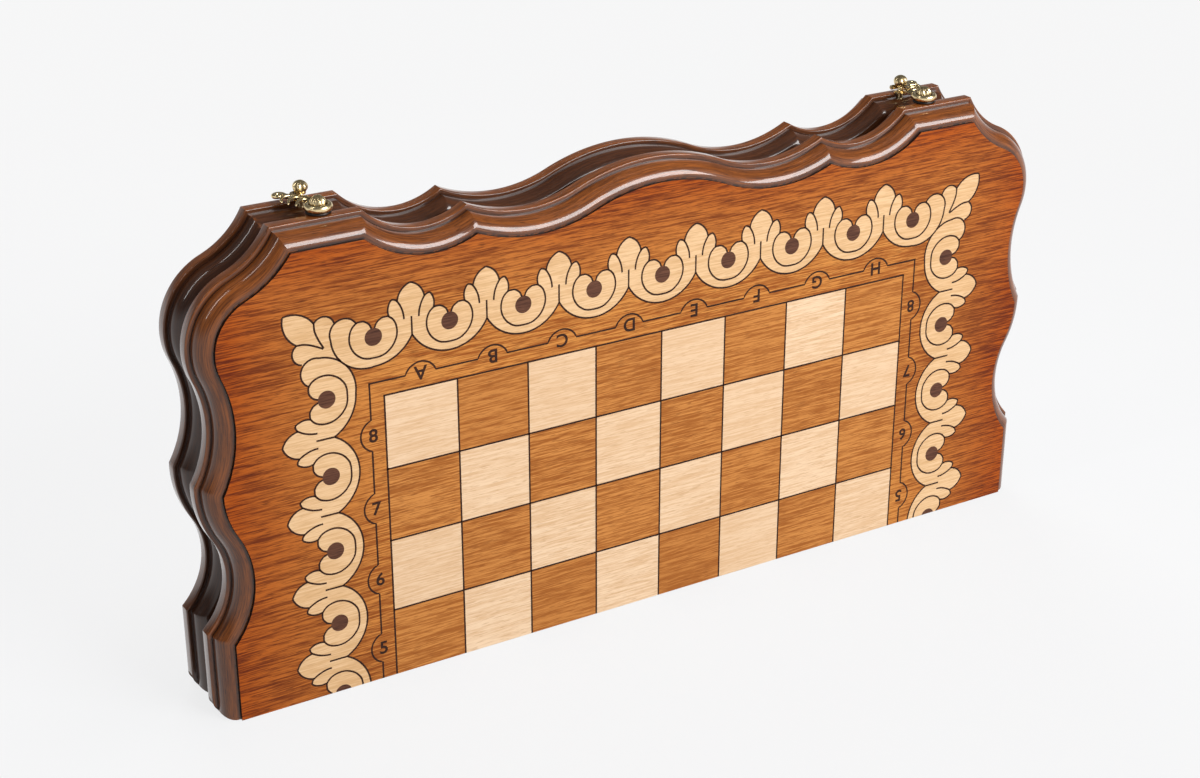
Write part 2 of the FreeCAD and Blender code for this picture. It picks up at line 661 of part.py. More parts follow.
def block(label, size_cells, place_cells):
    """Box tied to the sheet: three sizes and the place of its low corner."""
    thing = named("Part::Box", label)
    bind(thing, **dict(zip(("Length", "Width", "Height"), size_cells)))
    bind(thing, **dict(zip(("Placement__Base__x", "Placement__Base__y", "Placement__Base__z"), place_cells)))
    return thing


def rod(label, radius_cell, length_cell, place_cells, rotation=None):
    """Cylinder tied to the sheet: radius, length and the middle of its first end."""
    thing = named("Part::Cylinder", label)
    if rotation is not None:
        thing.Placement = Placement(Vector(0, 0, 0), rotation)
    bind(thing, Radius=radius_cell, Height=length_cell)
    bind(thing, **dict(zip(("Placement__Base__x", "Placement__Base__y", "Placement__Base__z"), place_cells)))
    return thing


def joined(label, pieces):
    """Union of several objects."""
    thing = named("Part::MultiFuse", label)
    thing.Shapes = pieces
    return thing


def cut_from(label, base, waste, placement=None):
    """One object cut out of another."""
    thing = named("Part::Cut", label)
    thing.Base = base
    thing.Tool = waste
    if placement is not None:
        thing.Placement = placement
    return thing


def hinge_block(label, side, placement):
    """Brass block let into the fold corner, slotted for the link and bored for its pin."""
    middle = f"{side} * Sizes.hinge_place"
    start = f"{middle} - Sizes.hinge_width / 2"
    depth = "Sizes.hinge_depth"
    reach = "Sizes.pivot_reach"
    body = block(f"{label}_blank", ("Sizes.hinge_width", depth, depth), (start, f"{RIM_CELL} - {depth}", "0"))
    corner = block(f"{label}_corner", ("Sizes.hinge_width", reach, reach), (start, PIVOT_CELL, "0"))
    roll = rod(f"{label}_roll", reach, "Sizes.hinge_width", (start, PIVOT_CELL, reach), ALONG_X)
    slot_width = "(Sizes.link_thickness + 2 * Sizes.link_play)"
    slot = block(f"{label}_slot", (slot_width, SLOT_CELL, SLOT_CELL),
                 (f"{middle} - {slot_width} / 2", f"{RIM_CELL} - {SLOT_CELL}", "0"))
    bore = rod(f"{label}_bore", "Sizes.pin_radius + Sizes.running_play", "Sizes.hinge_width",
               (start, PIVOT_CELL, reach), ALONG_X)
    waste = joined(f"{label}_waste", [cut_from(f"{label}_rounding", corner, roll), slot, bore])
    return cut_from(label, body, waste, placement)


def hinge_pin(label, side, way):
    """Pin across a hinge block's slot; way is empty for the front pivot and a minus for the rear one."""
    start = f"{side} * Sizes.hinge_place - Sizes.hinge_width / 2"
    place = (start, f"{way}{PIVOT_CELL}", "Sizes.pivot_reach")
    return rod(label, "Sizes.pin_radius", "Sizes.hinge_width", place, ALONG_X)


def hinge_link(label, side):
    """Flat link with round ends that joins the two pins of a hinge."""
    start = f"{side} * Sizes.hinge_place - Sizes.link_thickness / 2"
    half = "Sizes.link_width / 2"
    bar = block(f"{label}_bar", ("Sizes.link_thickness", f"-2 * {PIVOT_CELL}", "Sizes.link_width"),
                (start, PIVOT_CELL, f"Sizes.pivot_reach - {half}"))
    bore = "Sizes.pin_radius + Sizes.running_play"
    ends = []
    holes = []
    for end, way in WAYS.items():
        place = (start, f"{way}{PIVOT_CELL}", "Sizes.pivot_reach")
        ends.append(rod(f"{label}_{end}_end", half, "Sizes.link_thickness", place, ALONG_X))
        holes.append(rod(f"{label}_{end}_hole", bore, "Sizes.link_thickness", place, ALONG_X))
    return cut_from(label, joined(f"{label}_plate", [bar] + ends), joined(f"{label}_holes", holes))


def washer(label, side):
    """Plain washer under a hook."""
    place = (f"{side} * Sizes.latch_place", LATCH_CELL, BAND_CELL)
    disc = rod(f"{label}_disc", "Sizes.washer_radius", "Sizes.washer_thickness", place)
    hole = rod(f"{label}_hole", "Sizes.screw_radius + Sizes.running_play", "Sizes.washer_thickness", place)
    return cut_from(label, disc, hole)


def pivot_screw(label, side):
    """Dome-headed screw that a hook turns on."""
    place = (f"{side} * Sizes.latch_place", LATCH_CELL)
    seat = "(Sizes.washer_thickness + Sizes.hook_thickness + 2 * Sizes.running_play)"
    shank = rod(f"{label}_shank", "Sizes.screw_radius", f"Sizes.screw_length + {seat} + Sizes.screw_head / 4",
                place + (f"{BAND_CELL} - Sizes.screw_length",))
    dome = named("Part::Sphere", f"{label}_dome")
    bind(dome, Radius="Sizes.screw_head", Placement__Base__x=place[0], Placement__Base__y=place[1])
    bind(dome, Placement__Base__z=f"{BAND_CELL} + {seat}")
    dome.Angle1 = 0
    return joined(label, [dome, shank])


def keeper(label, side):
    """Post with a flange on the rear band and a round knob on top."""
    place = (f"{side} * Sizes.latch_place", f"-{LATCH_CELL}")
    shank = rod(f"{label}_shank", "Sizes.screw_radius", "Sizes.screw_length",
                place + (f"{BAND_CELL} - Sizes.screw_length",))
    flange = rod(f"{label}_flange", "Sizes.flange_radius", "Sizes.flange_thickness", place + (BAND_CELL,))
    post = rod(f"{label}_post", "Sizes.post_radius", "Sizes.knob_rise", place + (BAND_CELL,))
    knob = named("Part::Sphere", f"{label}_knob")
    bind(knob, Radius="Sizes.knob_radius", Placement__Base__x=place[0], Placement__Base__y=place[1])
    bind(knob, Placement__Base__z=f"{BAND_CELL} + Sizes.knob_rise")
    return joined(label, [shank, flange, post, knob])


def hook_shape(side):
    """Hook: a ring on the pivot, an arm past the keeper post, a finger behind it, a grip and barbs.

    It is drawn for the left latch; the right one is its mirror image.
    """
    inner = size["post_radius"] + size["hook_play"]
    outer = inner + size["arm_width"]
    near = size["latch_span"] - inner
    far = size["latch_span"] + inner
    half = size["arm_width"] / 2
    finger = size["finger_width"]
    tip = size["finger_reach"]
    middle = (size["ring_radius"] + near) / 2
    bend = math.sqrt(0.5)
    thickness = size["hook_thickness"]
    up = Vector(0, 0, thickness)

    def bow(*points):
        return Part.Arc(*[Vector(x, y, 0) for x, y in points]).toShape()

    def run(*points):
        return Part.makeLine(*[Vector(x, y, 0) for x, y in points])

    arm = [
        bow((half, 0), (half + size["arm_bow"], middle), (-inner, near)),
        run((-inner, near), (-inner, far)),
        run((-inner, far), (tip, far)),
        bow((tip, far), (tip + finger / 2, far + finger / 2), (tip, far + finger)),
        run((tip, far + finger), (-inner, far + finger)),
        bow((-inner, far + finger), (-inner - 2 * half * bend, far + finger * bend), (-outer, far)),
        run((-outer, far), (-outer, near)),
        bow((-outer, near), (-half + size["arm_bow"], middle), (-half, 0)),
        run((-half, 0), (half, 0)),
    ]
    pieces = [Part.Face(Part.Wire(arm)).extrude(up)]
    bud = size["bud_radius"]
    pieces.append(Part.makeCylinder(bud, thickness, Vector(-outer - bud / 2, far, 0)))
    for step in range(BARBS):
        foot = size["ring_radius"] + (size["barb_reach"] - size["ring_radius"]) * (step + 1) / BARBS
        point = (-size["ring_radius"] - step * size["barb_spread"], foot - size["barb_drop"])
        back = (point[0] / 2, foot - size["barb_drop"] / 2 + size["barb_width"])
        barb = [bow((0, foot), back, point), run(point, (0, foot))]
        pieces.append(Part.Face(Part.Wire(barb)).extrude(up))
    hole = Part.makeCylinder(size["screw_radius"] + size["running_play"], thickness)
    post_room = Part.makeCylinder(inner - size["running_play"], thickness, Vector(0, size["latch_span"], 0))
    ring = Part.makeCylinder(size["ring_radius"], thickness)
    shape = ring.fuse(pieces).cut([hole, post_room]).removeSplitter()
    if side == SIDES["right"]:
        shape = shape.mirror(Vector(0, 0, 0), Vector(1, 0, 0))
    lift = BAND_TOP + size["washer_thickness"] + size["running_play"]
    shape.translate(Vector(side * size["latch_place"], LATCH_Y, lift))
    return shape


made = []
leaf_pieces = build_leaf_pieces()
for leaf, placement in LEAVES.items():
    for name, shape in leaf_pieces.items():
        made.append(solid(f"{leaf}_{name}", shape, placement))
for side_name, side in SIDES.items():
    for leaf, placement in LEAVES.items():
        turned = side if leaf == "front" else -side
        made.append(hinge_block(f"{side_name}_{leaf}_hinge_block", turned, placement))
        made.append(hinge_pin(f"{side_name}_{leaf}_hinge_pin", side, WAYS[leaf]))
    made.append(hinge_link(f"{side_name}_hinge_link", side))
    made.append(solid(f"{side_name}_hook", hook_shape(side)))
    made.append(pivot_screw(f"{side_name}_pivot_screw", side))
    made.append(washer(f"{side_name}_washer", side))
    made.append(keeper(f"{side_name}_keeper", side))
doc.recompute()

# Nothing is written unless every object is sound
for thing in doc.Objects:
    if "Invalid" in thing.State or "Error" in thing.State:
        raise RuntimeError(f"{thing.Label} failed: {thing.State}")
for thing in made:
    if thing.Shape.isNull() or not thing.Shape.isValid():
        raise RuntimeError(f"{thing.Label} has no sound shape")

os.makedirs("parts", exist_ok=True)
for thing in made:
    thing.Shape.exportStep(f"parts/{thing.Label}.step")
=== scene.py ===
# %% [markdown]
# # A folding chess and backgammon case
# The real object is a wooden case of two equal leaves that stands shut on its fold edge. The CAD frame gives
# every piece its place; this lesson dresses it. All lengths below are in millimetres and become metres at the
# very end, because a maker thinks of such a case in millimetres.

# %% Load the frame
import math
import bmesh
import bpy
import numpy as np
from mathutils import Matrix, Vector


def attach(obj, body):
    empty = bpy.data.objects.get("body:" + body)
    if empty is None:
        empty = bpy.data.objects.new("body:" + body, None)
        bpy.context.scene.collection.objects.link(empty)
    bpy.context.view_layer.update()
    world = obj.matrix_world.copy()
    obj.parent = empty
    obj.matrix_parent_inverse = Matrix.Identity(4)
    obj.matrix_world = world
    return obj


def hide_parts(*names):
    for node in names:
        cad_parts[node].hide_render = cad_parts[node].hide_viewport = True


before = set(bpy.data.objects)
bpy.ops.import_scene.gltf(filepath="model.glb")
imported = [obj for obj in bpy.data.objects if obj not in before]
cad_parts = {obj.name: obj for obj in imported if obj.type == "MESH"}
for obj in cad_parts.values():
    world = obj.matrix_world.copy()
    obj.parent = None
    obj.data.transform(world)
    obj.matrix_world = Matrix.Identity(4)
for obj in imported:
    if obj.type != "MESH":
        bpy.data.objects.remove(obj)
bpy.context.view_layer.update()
scene = bpy.context.scene
MM = 0.001
LEAVES = {"front": 1.0, "rear": -1.0}

# %% [markdown]
# ## Turning arrays into meshes
# Every new surface here is a grid of points worked out with numpy: rows times columns. It could be modelled
# by hand, but a grid keeps the formula readable and every point exact. A few helpers are enough: one numbers
# the faces of a grid, one joins several grids, and one puts points and faces into a mesh, closes its seams
# and gives it to a body.


# %% Helpers for meshes
WELD = 2e-7
WOOD_CREASE = 38.0
CAST_CREASE = 50.0


def grid_faces(rows, columns, close_rows=False, close_columns=False):
    """Quads of a grid numbered row by row: a point, its right neighbour and the two in the next row."""
    r, c = np.meshgrid(np.arange(rows - (not close_rows)), np.arange(columns - (not close_columns)),
                       indexing="ij")
    below = (r + 1) % rows
    beside = (c + 1) % columns
    corners = [r * columns + c, r * columns + beside, below * columns + beside, below * columns + c]
    return np.stack(corners, axis=-1).reshape(-1, 4)


def gather(parts):
    """One set of points and faces: the face numbers of each part move on by the points before it."""
    points = np.concatenate([p.reshape(-1, 3) for p, _ in parts])
    starts = np.cumsum([0] + [p.size // 3 for p, _ in parts[:-1]])
    return points, np.concatenate([f + s for (_, f), s in zip(parts, starts)])


def add_object(name, data):
    """New object in the scene."""
    made = bpy.data.objects.new(name, data)
    scene.collection.objects.link(made)
    return made


def add_piece(name, points, faces, body, material, replaces=(), crease=WOOD_CREASE, marks=None):
    """Mesh object from points in millimetres, with closed seams, outward faces and smooth shading."""
    mesh = bpy.data.meshes.new(name)
    mesh.from_pydata((points * MM).tolist(), [], faces.tolist())
    for mark, values in (marks or {}).items():
        kind, field = ("FLOAT", "value") if values.ndim == 1 else ("FLOAT_VECTOR", "vector")
        layer = mesh.attributes.new(mark, kind, "POINT")
        layer.data.foreach_set(field, values.astype(np.float32).ravel())
    shell = bmesh.new()
    shell.from_mesh(mesh)
    bmesh.ops.remove_doubles(shell, verts=shell.verts, dist=WELD)
    bmesh.ops.recalc_face_normals(shell, faces=shell.faces)
    shell.to_mesh(mesh)
    shell.free()
    mesh.polygons.foreach_set("use_smooth", np.ones(len(mesh.polygons), bool))
    mesh.set_sharp_from_angle(angle=math.radians(crease))
    mesh.materials.append(material)
    piece = add_object(name, mesh)
    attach(piece, body)
    if replaces:
        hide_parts(*replaces)
    print(name, len(mesh.polygons), "faces")


def turned(points, turn):
    """The front leaf's points for turn 1, or the same half a turn about the upright axis for turn -1."""
    return points * np.array([turn, turn, 1.0])


# %% [markdown]
# ## Node helpers and the grain of the wood
# Beech stained to different depths makes almost the whole case. Its figure has three scales: broad clouds of
# tone, long fine streaks along the grain and short dark flecks. An image could show it, but a node group of
# stretched noises stays sharp at any distance and can be shared by every wood of the case.


# %% Node helpers
def fill(tree, made, values):
    """Fill a node's inputs by name or number: a socket is linked, anything else is a plain value."""
    for place, source in values.items():
        if isinstance(source, bpy.types.NodeSocket):
            tree.links.new(source, made.inputs[place])
        else:
            made.inputs[place].default_value = source


def add_node(tree, kind, values=(), **settings):
    """Outputs of a new shader node, some of its settings changed and its inputs filled."""
    made = tree.nodes.new("ShaderNode" + kind)
    for name, value in settings.items():
        setattr(made, name, value)
    fill(tree, made, dict(values))
    return made.outputs


def maths(tree, operation, *values):
    """Result of a math node; clamped where the operation's name ends in a plus sign."""
    return add_node(tree, "Math", enumerate(values), operation=operation.rstrip("+"),
                    use_clamp=operation.endswith("+"))[0]


def mixed(tree, factor, first, second):
    """Mix of two colours."""
    return add_node(tree, "Mix", {0: factor, 6: first, 7: second}, data_type="RGBA")[2]


def spread(tree, value, low, high, start=0.0, end=1.0):
    """A value carried from one range to another, held at its ends."""
    return add_node(tree, "MapRange", enumerate((value, low, high, start, end)))[0]


def noise(tree, vector, stretch, detail, roughness=0.5):
    """Noise of scale 1 at a vector stretched along its three axes."""
    place = add_node(tree, "VectorMath", {0: vector, 1: stretch}, operation="MULTIPLY")[0]
    values = {"Vector": place, "Scale": 1.0, "Detail": detail, "Roughness": roughness}
    return add_node(tree, "TexNoise", values)[0]


def coordinate(tree, kind="Object"):
    """Texture coordinates: those of the object, or another kind."""
    return add_node(tree, "TexCoord")[kind]


def carried(tree, name, kind="Fac"):
    """An attribute that the piece carries."""
    return add_node(tree, "Attribute", attribute_name=name)[kind]


def parts_of(tree, vector):
    """The three numbers of a vector."""
    return add_node(tree, "SeparateXYZ", {0: vector})


# %% The grain group: stretch, detail and roughness of each noise, and its share of the figure
CLOUD = ((7.0, 22.0, 22.0), 2.0)
STREAK = ((22.0, 600.0, 600.0), 4.0, 0.6)
FIBRE = ((60.0, 1400.0, 1400.0), 3.0, 0.6)
FLECK = ((140.0, 1900.0, 1900.0), 1.0)
CLOUD_SHARE = 0.7
STREAK_SHARE = 1.8
FIBRE_SHARE = 2.3
FLECK_RANGE = (0.58, 0.70)
FLECK_DEPTH = 0.6
GRAIN_INPUTS = {"Vector": "Vector", "Pale": "Color", "Deep": "Color", "Fleck": "Color", "Contrast": "Float",
                "Flecks": "Float"}
GRAIN_OUTPUTS = {"Colour": "Color", "Height": "Float"}


def make_grain():
    """Grain along the first axis: a colour between deep and pale with dark flecks, and a height for bump."""
    group = bpy.data.node_groups.new("beech_grain", "ShaderNodeTree")
    for way, sockets in (("INPUT", GRAIN_INPUTS), ("OUTPUT", GRAIN_OUTPUTS)):
        for label, kind in sockets.items():
            group.interface.new_socket(label, in_out=way, socket_type=f"NodeSocket{kind}")
    at = group.nodes.new("NodeGroupInput").outputs
    cloud, streak, fibre, dash = [noise(group, at["Vector"], *kind) for kind in (CLOUD, STREAK, FIBRE, FLECK)]
    figure = maths(group, "MULTIPLY_ADD", cloud, CLOUD_SHARE, maths(group, "MULTIPLY", streak, STREAK_SHARE))
    figure = maths(group, "MULTIPLY_ADD", fibre, FIBRE_SHARE, figure)
    centred = maths(group, "SUBTRACT", figure, (CLOUD_SHARE + STREAK_SHARE + FIBRE_SHARE) / 2)
    shade = maths(group, "MULTIPLY_ADD+", centred, at["Contrast"], 0.5)
    tone = mixed(group, shade, at["Deep"], at["Pale"])
    mask = maths(group, "MULTIPLY", spread(group, dash, *FLECK_RANGE), at["Flecks"])
    height = maths(group, "SUBTRACT", fibre, maths(group, "MULTIPLY", mask, FLECK_DEPTH))
    result = {"Colour": mixed(group, mask, tone, at["Fleck"]), "Height": height}
    fill(group, group.nodes.new("NodeGroupOutput"), result)
    return group


GRAIN = make_grain()
print("node group", GRAIN.name)

# %% [markdown]
# ## The woods
# All the woods share the grain. The border is stained deep red-brown at the rim and rubbed lighter towards
# the squares, so its stain colours are mixed by the distance from the edge, read from Object coordinates. The
# squares are cut from different boards: each square's row and column number shifts its grain and its tone.


# %% Wood finishes
RELIEF = 0.0002
COAT_ROUGHNESS = 0.06
COAT_IOR = 1.42


def new_material(name):
    """Node material with its tree and its main shader."""
    material = bpy.data.materials.new(name)
    material.use_nodes = True
    return material, material.node_tree, material.node_tree.nodes["Principled BSDF"]


def bumped(tree, height, strength):
    """Normal of a surface whose fine relief follows a height."""
    values = {"Strength": strength, "Distance": RELIEF, "Height": height}
    return add_node(tree, "Bump", values)[0]


def finish_material(name, colour_of, roughness, specular, coat, bump):
    """Finished wood: colour_of builds colour and height in the tree; a gloss lacquer is the shader's coat."""
    material, tree, shader = new_material(name)
    colour, height = colour_of(tree)
    fill(tree, shader, {"Base Color": colour, "Roughness": roughness, "Specular IOR Level": specular,
                        "Coat Weight": coat, "Coat Roughness": COAT_ROUGHNESS, "Coat IOR": COAT_IOR,
                        "Normal": bumped(tree, height, bump)})
    return material


def grained(tree, vector, *colours_and_amounts):
    """The shared grain in a material: pale, deep and fleck colours, contrast and amount of flecks."""
    values = zip(GRAIN_INPUTS, (vector, *colours_and_amounts))
    return add_node(tree, "Group", values, node_tree=GRAIN)[:2]


def plain_wood(pale, deep, fleck, contrast=1.0, flecks=0.6):
    """Colour builder for a wood whose grain runs along the fold."""
    return lambda tree: grained(tree, coordinate(tree), pale, deep, fleck, contrast, flecks)


SQUARE = 45.0
HALF_GRID = 180.0
GRID_TOP = 177.7
TONE_SHIFT = 0.35


def square_wood(pale, deep, fleck, contrast, flecks):
    """Colour builder for squares: place over size, rounded down, numbers them, and noise shifts each one."""
    def build(tree):
        """Colour and height of the squares."""
        vector = coordinate(tree)
        x, _, z = parts_of(tree, vector)
        numbers = {}
        for axis, (place, start) in enumerate(((x, HALF_GRID), (z, -GRID_TOP))):
            steps = maths(tree, "MULTIPLY_ADD", place, 1 / (SQUARE * MM), start / SQUARE)
            numbers[axis] = maths(tree, "FLOOR", steps)
        number = add_node(tree, "CombineXYZ", numbers)[0]
        chance = add_node(tree, "TexWhiteNoise", {"Vector": number}, noise_dimensions="2D")
        moved = add_node(tree, "VectorMath", {0: vector, 1: chance["Color"]}, operation="ADD")[0]
        colour, height = grained(tree, moved, pale, deep, fleck, contrast, flecks)
        tone = maths(tree, "MULTIPLY", chance["Value"], TONE_SHIFT)
        return mixed(tree, tone, colour, deep), height
    return build


EDGE_HALF = 276.0
EDGE_TOP = 269.6
BLACK_BROWN = (0.020, 0.008, 0.005, 1.0)
STAINED = ((0.42, 0.085, 0.008, 1.0), (0.12, 0.016, 0.003, 1.0))
RUBBED = ((0.66, 0.265, 0.060, 1.0), (0.33, 0.090, 0.015, 1.0))
BORDER_FLECK = (0.070, 0.014, 0.004, 1.0)
RUB_RANGE = (0.005, 0.105)
RUB_FROM_TOP = 1.6
DRIFT = ((9.0, 9.0, 14.0), 2.0)
DRIFT_REACH = 0.05
BORDER_GRAIN = (1.8, 0.6)
MOULDING_GRAIN = (1.0, 0.7)


def border_wood(tree):
    """Border stain: deep red near the outer edge, golden towards the squares; painted shade on the panel's
    rim.
    """
    vector = coordinate(tree)
    x, _, z = parts_of(tree, vector)
    beside = maths(tree, "SUBTRACT", EDGE_HALF * MM, maths(tree, "ABSOLUTE", x))
    above = maths(tree, "MULTIPLY", maths(tree, "SUBTRACT", EDGE_TOP * MM, z), RUB_FROM_TOP)
    drift = maths(tree, "SUBTRACT", noise(tree, vector, *DRIFT), 0.5)
    inward = maths(tree, "MULTIPLY_ADD", drift, DRIFT_REACH, maths(tree, "MINIMUM", beside, above))
    share = spread(tree, inward, *RUB_RANGE)
    pale, deep = [mixed(tree, share, *tones) for tones in zip(STAINED, RUBBED)]
    colour, height = grained(tree, vector, pale, deep, BORDER_FLECK, *BORDER_GRAIN)
    # Painted shade: faces that look neither to the front nor back, the panel's edges by the moulding, go
    # black-brown.
    facing = maths(tree, "ABSOLUTE", parts_of(tree, coordinate(tree, "Normal"))[1])
    return mixed(tree, maths(tree, "LESS_THAN", facing, 0.5), colour, BLACK_BROWN), height


def moulding_wood(tree):
    """Moulding stain: grain follows the edge by the piece's own attribute; the hollow attribute paints shade.
    """
    colour, height = grained(tree, carried(tree, "along_edge", "Vector"), *FRAME, *MOULDING_GRAIN)
    # Painted shade: black-brown mixed in by the hollow attribute, in the quirk, the necks and the rim half.
    return mixed(tree, carried(tree, "hollow"), colour, BLACK_BROWN), height


# %% Stains, each with a pale, a deep and a fleck colour, and the woods of the case
FRAME = ((0.255, 0.072, 0.012, 1.0), (0.078, 0.020, 0.004, 1.0), (0.032, 0.009, 0.003, 1.0))
LIGHT = ((0.91, 0.66, 0.44, 1.0), (0.76, 0.49, 0.28, 1.0), (0.55, 0.31, 0.145, 1.0))
INLAY = ((0.86, 0.57, 0.32, 1.0), (0.70, 0.42, 0.20, 1.0), (0.50, 0.27, 0.12, 1.0))
GOLD = ((0.66, 0.270, 0.068, 1.0), (0.36, 0.112, 0.021, 1.0), (0.20, 0.055, 0.012, 1.0))
DOTS = ((0.150, 0.062, 0.036, 1.0), (0.062, 0.023, 0.014, 1.0), (0.020, 0.008, 0.005, 1.0))
INK = ((0.050, 0.018, 0.009, 1.0), (0.022, 0.008, 0.005, 1.0), BLACK_BROWN)
SATIN = (0.5, 0.15, 0.0, 0.2)
GLOSS = (0.35, 0.2, 1.0, 0.3)
WOODS = {
    "border_wood": finish_material("stained border", border_wood, *SATIN),
    "light_squares": finish_material("pale beech squares", square_wood(*LIGHT, 1.5, 0.5), *SATIN),
    "dark_squares": finish_material("golden squares", square_wood(*GOLD, 1.9, 0.6), *SATIN),
    "light_wood": finish_material("pale beech", plain_wood(*INLAY, 1.3, 0.4), *SATIN),
    "dot_wood": finish_material("dark dots", plain_wood(*DOTS), *SATIN),
    "field_wood": finish_material("golden field", plain_wood(*GOLD, 1.9), *SATIN),
    "frame_wood": finish_material("dark frame", plain_wood(*FRAME), *GLOSS),
    "moulding": finish_material("dark moulding", moulding_wood, *GLOSS),
    "burnt_line": finish_material("burnt line", plain_wood(*INK), *SATIN),
}
print(len(WOODS), "wood finishes")

# %% [markdown]
# ## Brass
# The latches are cast brass, aged dark in the recesses and polished on the high spots. A scan would carry
# that as paint; here each brass surface carries a recess attribute from its own formula, and the finish mixes
# dark patina into the recesses.


# %% Brass finish
PATINA = ((260.0, 260.0, 260.0), 3.0)
PATINA_SHARE = 0.45
PATINA_START = 0.16
PITS = ((900.0, 900.0, 900.0), 2.0)
PIT_DEPTH = 0.15
PATINA_DULL = 0.3


def brass_material(name, bright, dark, roughness):
    """Antique brass: patina in the recesses and in small clouds, polished elsewhere."""
    material, tree, shader = new_material(name)
    vector = coordinate(tree)
    recess = maths(tree, "SUBTRACT", carried(tree, "recess"), PATINA_START)
    patina = maths(tree, "MULTIPLY_ADD+", noise(tree, vector, *PATINA), PATINA_SHARE, recess)
    fill(tree, shader, {"Base Color": mixed(tree, patina, bright, dark), "Metallic": 1.0,
                        "Roughness": spread(tree, patina, 0.0, 1.0, roughness, roughness + PATINA_DULL),
                        "Normal": bumped(tree, noise(tree, vector, *PITS), PIT_DEPTH)})
    return material


BRASS = brass_material("antique brass", (0.95, 0.76, 0.43, 1.0), (0.10, 0.055, 0.018, 1.0), 0.22)
DARK_BRASS = brass_material("dark brass", (0.05, 0.042, 0.040, 1.0), (0.012, 0.010, 0.010, 1.0), 0.4)
print("brass finishes ready")

# %% [markdown]
# ## The scalloped edge
# The edge of a leaf is a run of arcs and straight bits, drawn once for the right half. A moulding cutter
# follows it, so every line of the moulding is the same edge moved outwards. That is why the stretches are
# kept as centres and radii: moving an arc outwards only changes its radius, and the mitres come out exact.

# %% Edge of a leaf
SCALLOP_DEPTH, SCALLOP_RADIUS, SCALLOP_SPAN = 14.0, 58.6, 91.6
WAIST_DEPTH, WAIST_RADIUS = 9.7, 80.0
LOBE_INSET, LOBE_RADIUS = 1.5, 31.0
PLATEAU_INSET, SHOULDER_SLOPE = 47.0, math.radians(55.0)
DIP_INSET, DIP_DEPTH, DIP_RADIUS = 129.5, 15.2, 62.0
HOLLOW_INSET, HOLLOW_DEPTH, HOLLOW_RADIUS = 194.0, 16.7, 96.0


class Straight:
    """Straight stretch: a point on it and its outward normal."""

    def __init__(self, point, normal):
        self.point = np.array(point)
        self.normal = np.array(normal)


class Round:
    """Round stretch: side is 1 where it bulges out and -1 where it is hollow."""

    def __init__(self, x, z, radius, side):
        self.centre = np.array([x, z])
        self.radius = radius
        self.side = side

    def grown(self, offset):
        """Radius of the stretch moved outwards by an offset."""
        return self.radius + self.side * offset


def cap_half(radius, depth):
    """Half the width of a circle's cap of a given depth."""
    return math.sqrt(radius ** 2 - (radius - depth) ** 2)


def bulge_radius(run, radius, depth):
    """Radius of a bulge that touches a hollow of a given radius and depth, its middle a run away."""
    return (run ** 2 - cap_half(radius, depth) ** 2) / (2 * depth)


def edge_stretches():
    """The stretches from the fold to the middle of the crest, and a place near each meeting not smooth."""
    cusp = GRID_TOP - cap_half(WAIST_RADIUS, WAIST_DEPTH)
    toe = cusp - SCALLOP_SPAN
    belly = toe + cap_half(SCALLOP_RADIUS, SCALLOP_DEPTH)
    scallop = Round(EDGE_HALF - SCALLOP_DEPTH + SCALLOP_RADIUS, belly, SCALLOP_RADIUS, -1)
    swell_radius = bulge_radius(cusp - belly, SCALLOP_RADIUS, SCALLOP_DEPTH)
    swell = Round(EDGE_HALF - swell_radius, cusp, swell_radius, 1)
    waist_x = EDGE_HALF - WAIST_DEPTH + WAIST_RADIUS
    waist = Round(waist_x, GRID_TOP, WAIST_RADIUS, -1)
    lobe_x = EDGE_HALF - LOBE_INSET - LOBE_RADIUS
    lobe_rise = math.sqrt((WAIST_RADIUS + LOBE_RADIUS) ** 2 - (waist_x - lobe_x) ** 2)
    lobe = Round(lobe_x, GRID_TOP + lobe_rise, LOBE_RADIUS, 1)
    corner = np.array([EDGE_HALF - PLATEAU_INSET, EDGE_TOP])
    lean = np.array([math.sin(SHOULDER_SLOPE), math.cos(SHOULDER_SLOPE)])
    away = corner - lobe.centre
    shoulder_radius = (away @ away - LOBE_RADIUS ** 2) / (2 * (LOBE_RADIUS - away @ lean))
    shoulder = Round(*(corner + shoulder_radius * lean), shoulder_radius, -1)
    dip_x = EDGE_HALF - DIP_INSET
    dip = Round(dip_x, EDGE_TOP - DIP_DEPTH + DIP_RADIUS, DIP_RADIUS, -1)
    hollow_x = EDGE_HALF - HOLLOW_INSET
    hollow = Round(hollow_x, EDGE_TOP - HOLLOW_DEPTH + HOLLOW_RADIUS, HOLLOW_RADIUS, -1)
    crest_radius = bulge_radius(hollow_x, HOLLOW_RADIUS, HOLLOW_DEPTH)
    crest = Round(0.0, EDGE_TOP - crest_radius, crest_radius, 1)
    stretches = [Straight((EDGE_HALF, 0.0), (1.0, 0.0)), scallop, swell, waist, lobe, shoulder,
                 Straight(corner, (0.0, 1.0)), dip, hollow, crest]
    dip_end = (dip_x + cap_half(DIP_RADIUS, DIP_DEPTH), EDGE_TOP)
    between = ((dip_x + hollow_x) / 2, EDGE_TOP - DIP_DEPTH)
    near = [(EDGE_HALF, toe), None, (EDGE_HALF, cusp), None, None, corner, dip_end, between, None]
    return stretches, near


STRETCHES, NEAR = edge_stretches()
EDGE_STEP = 1.7
PLATEAU_CORNER = 6
CREST_MIDDLE = 10


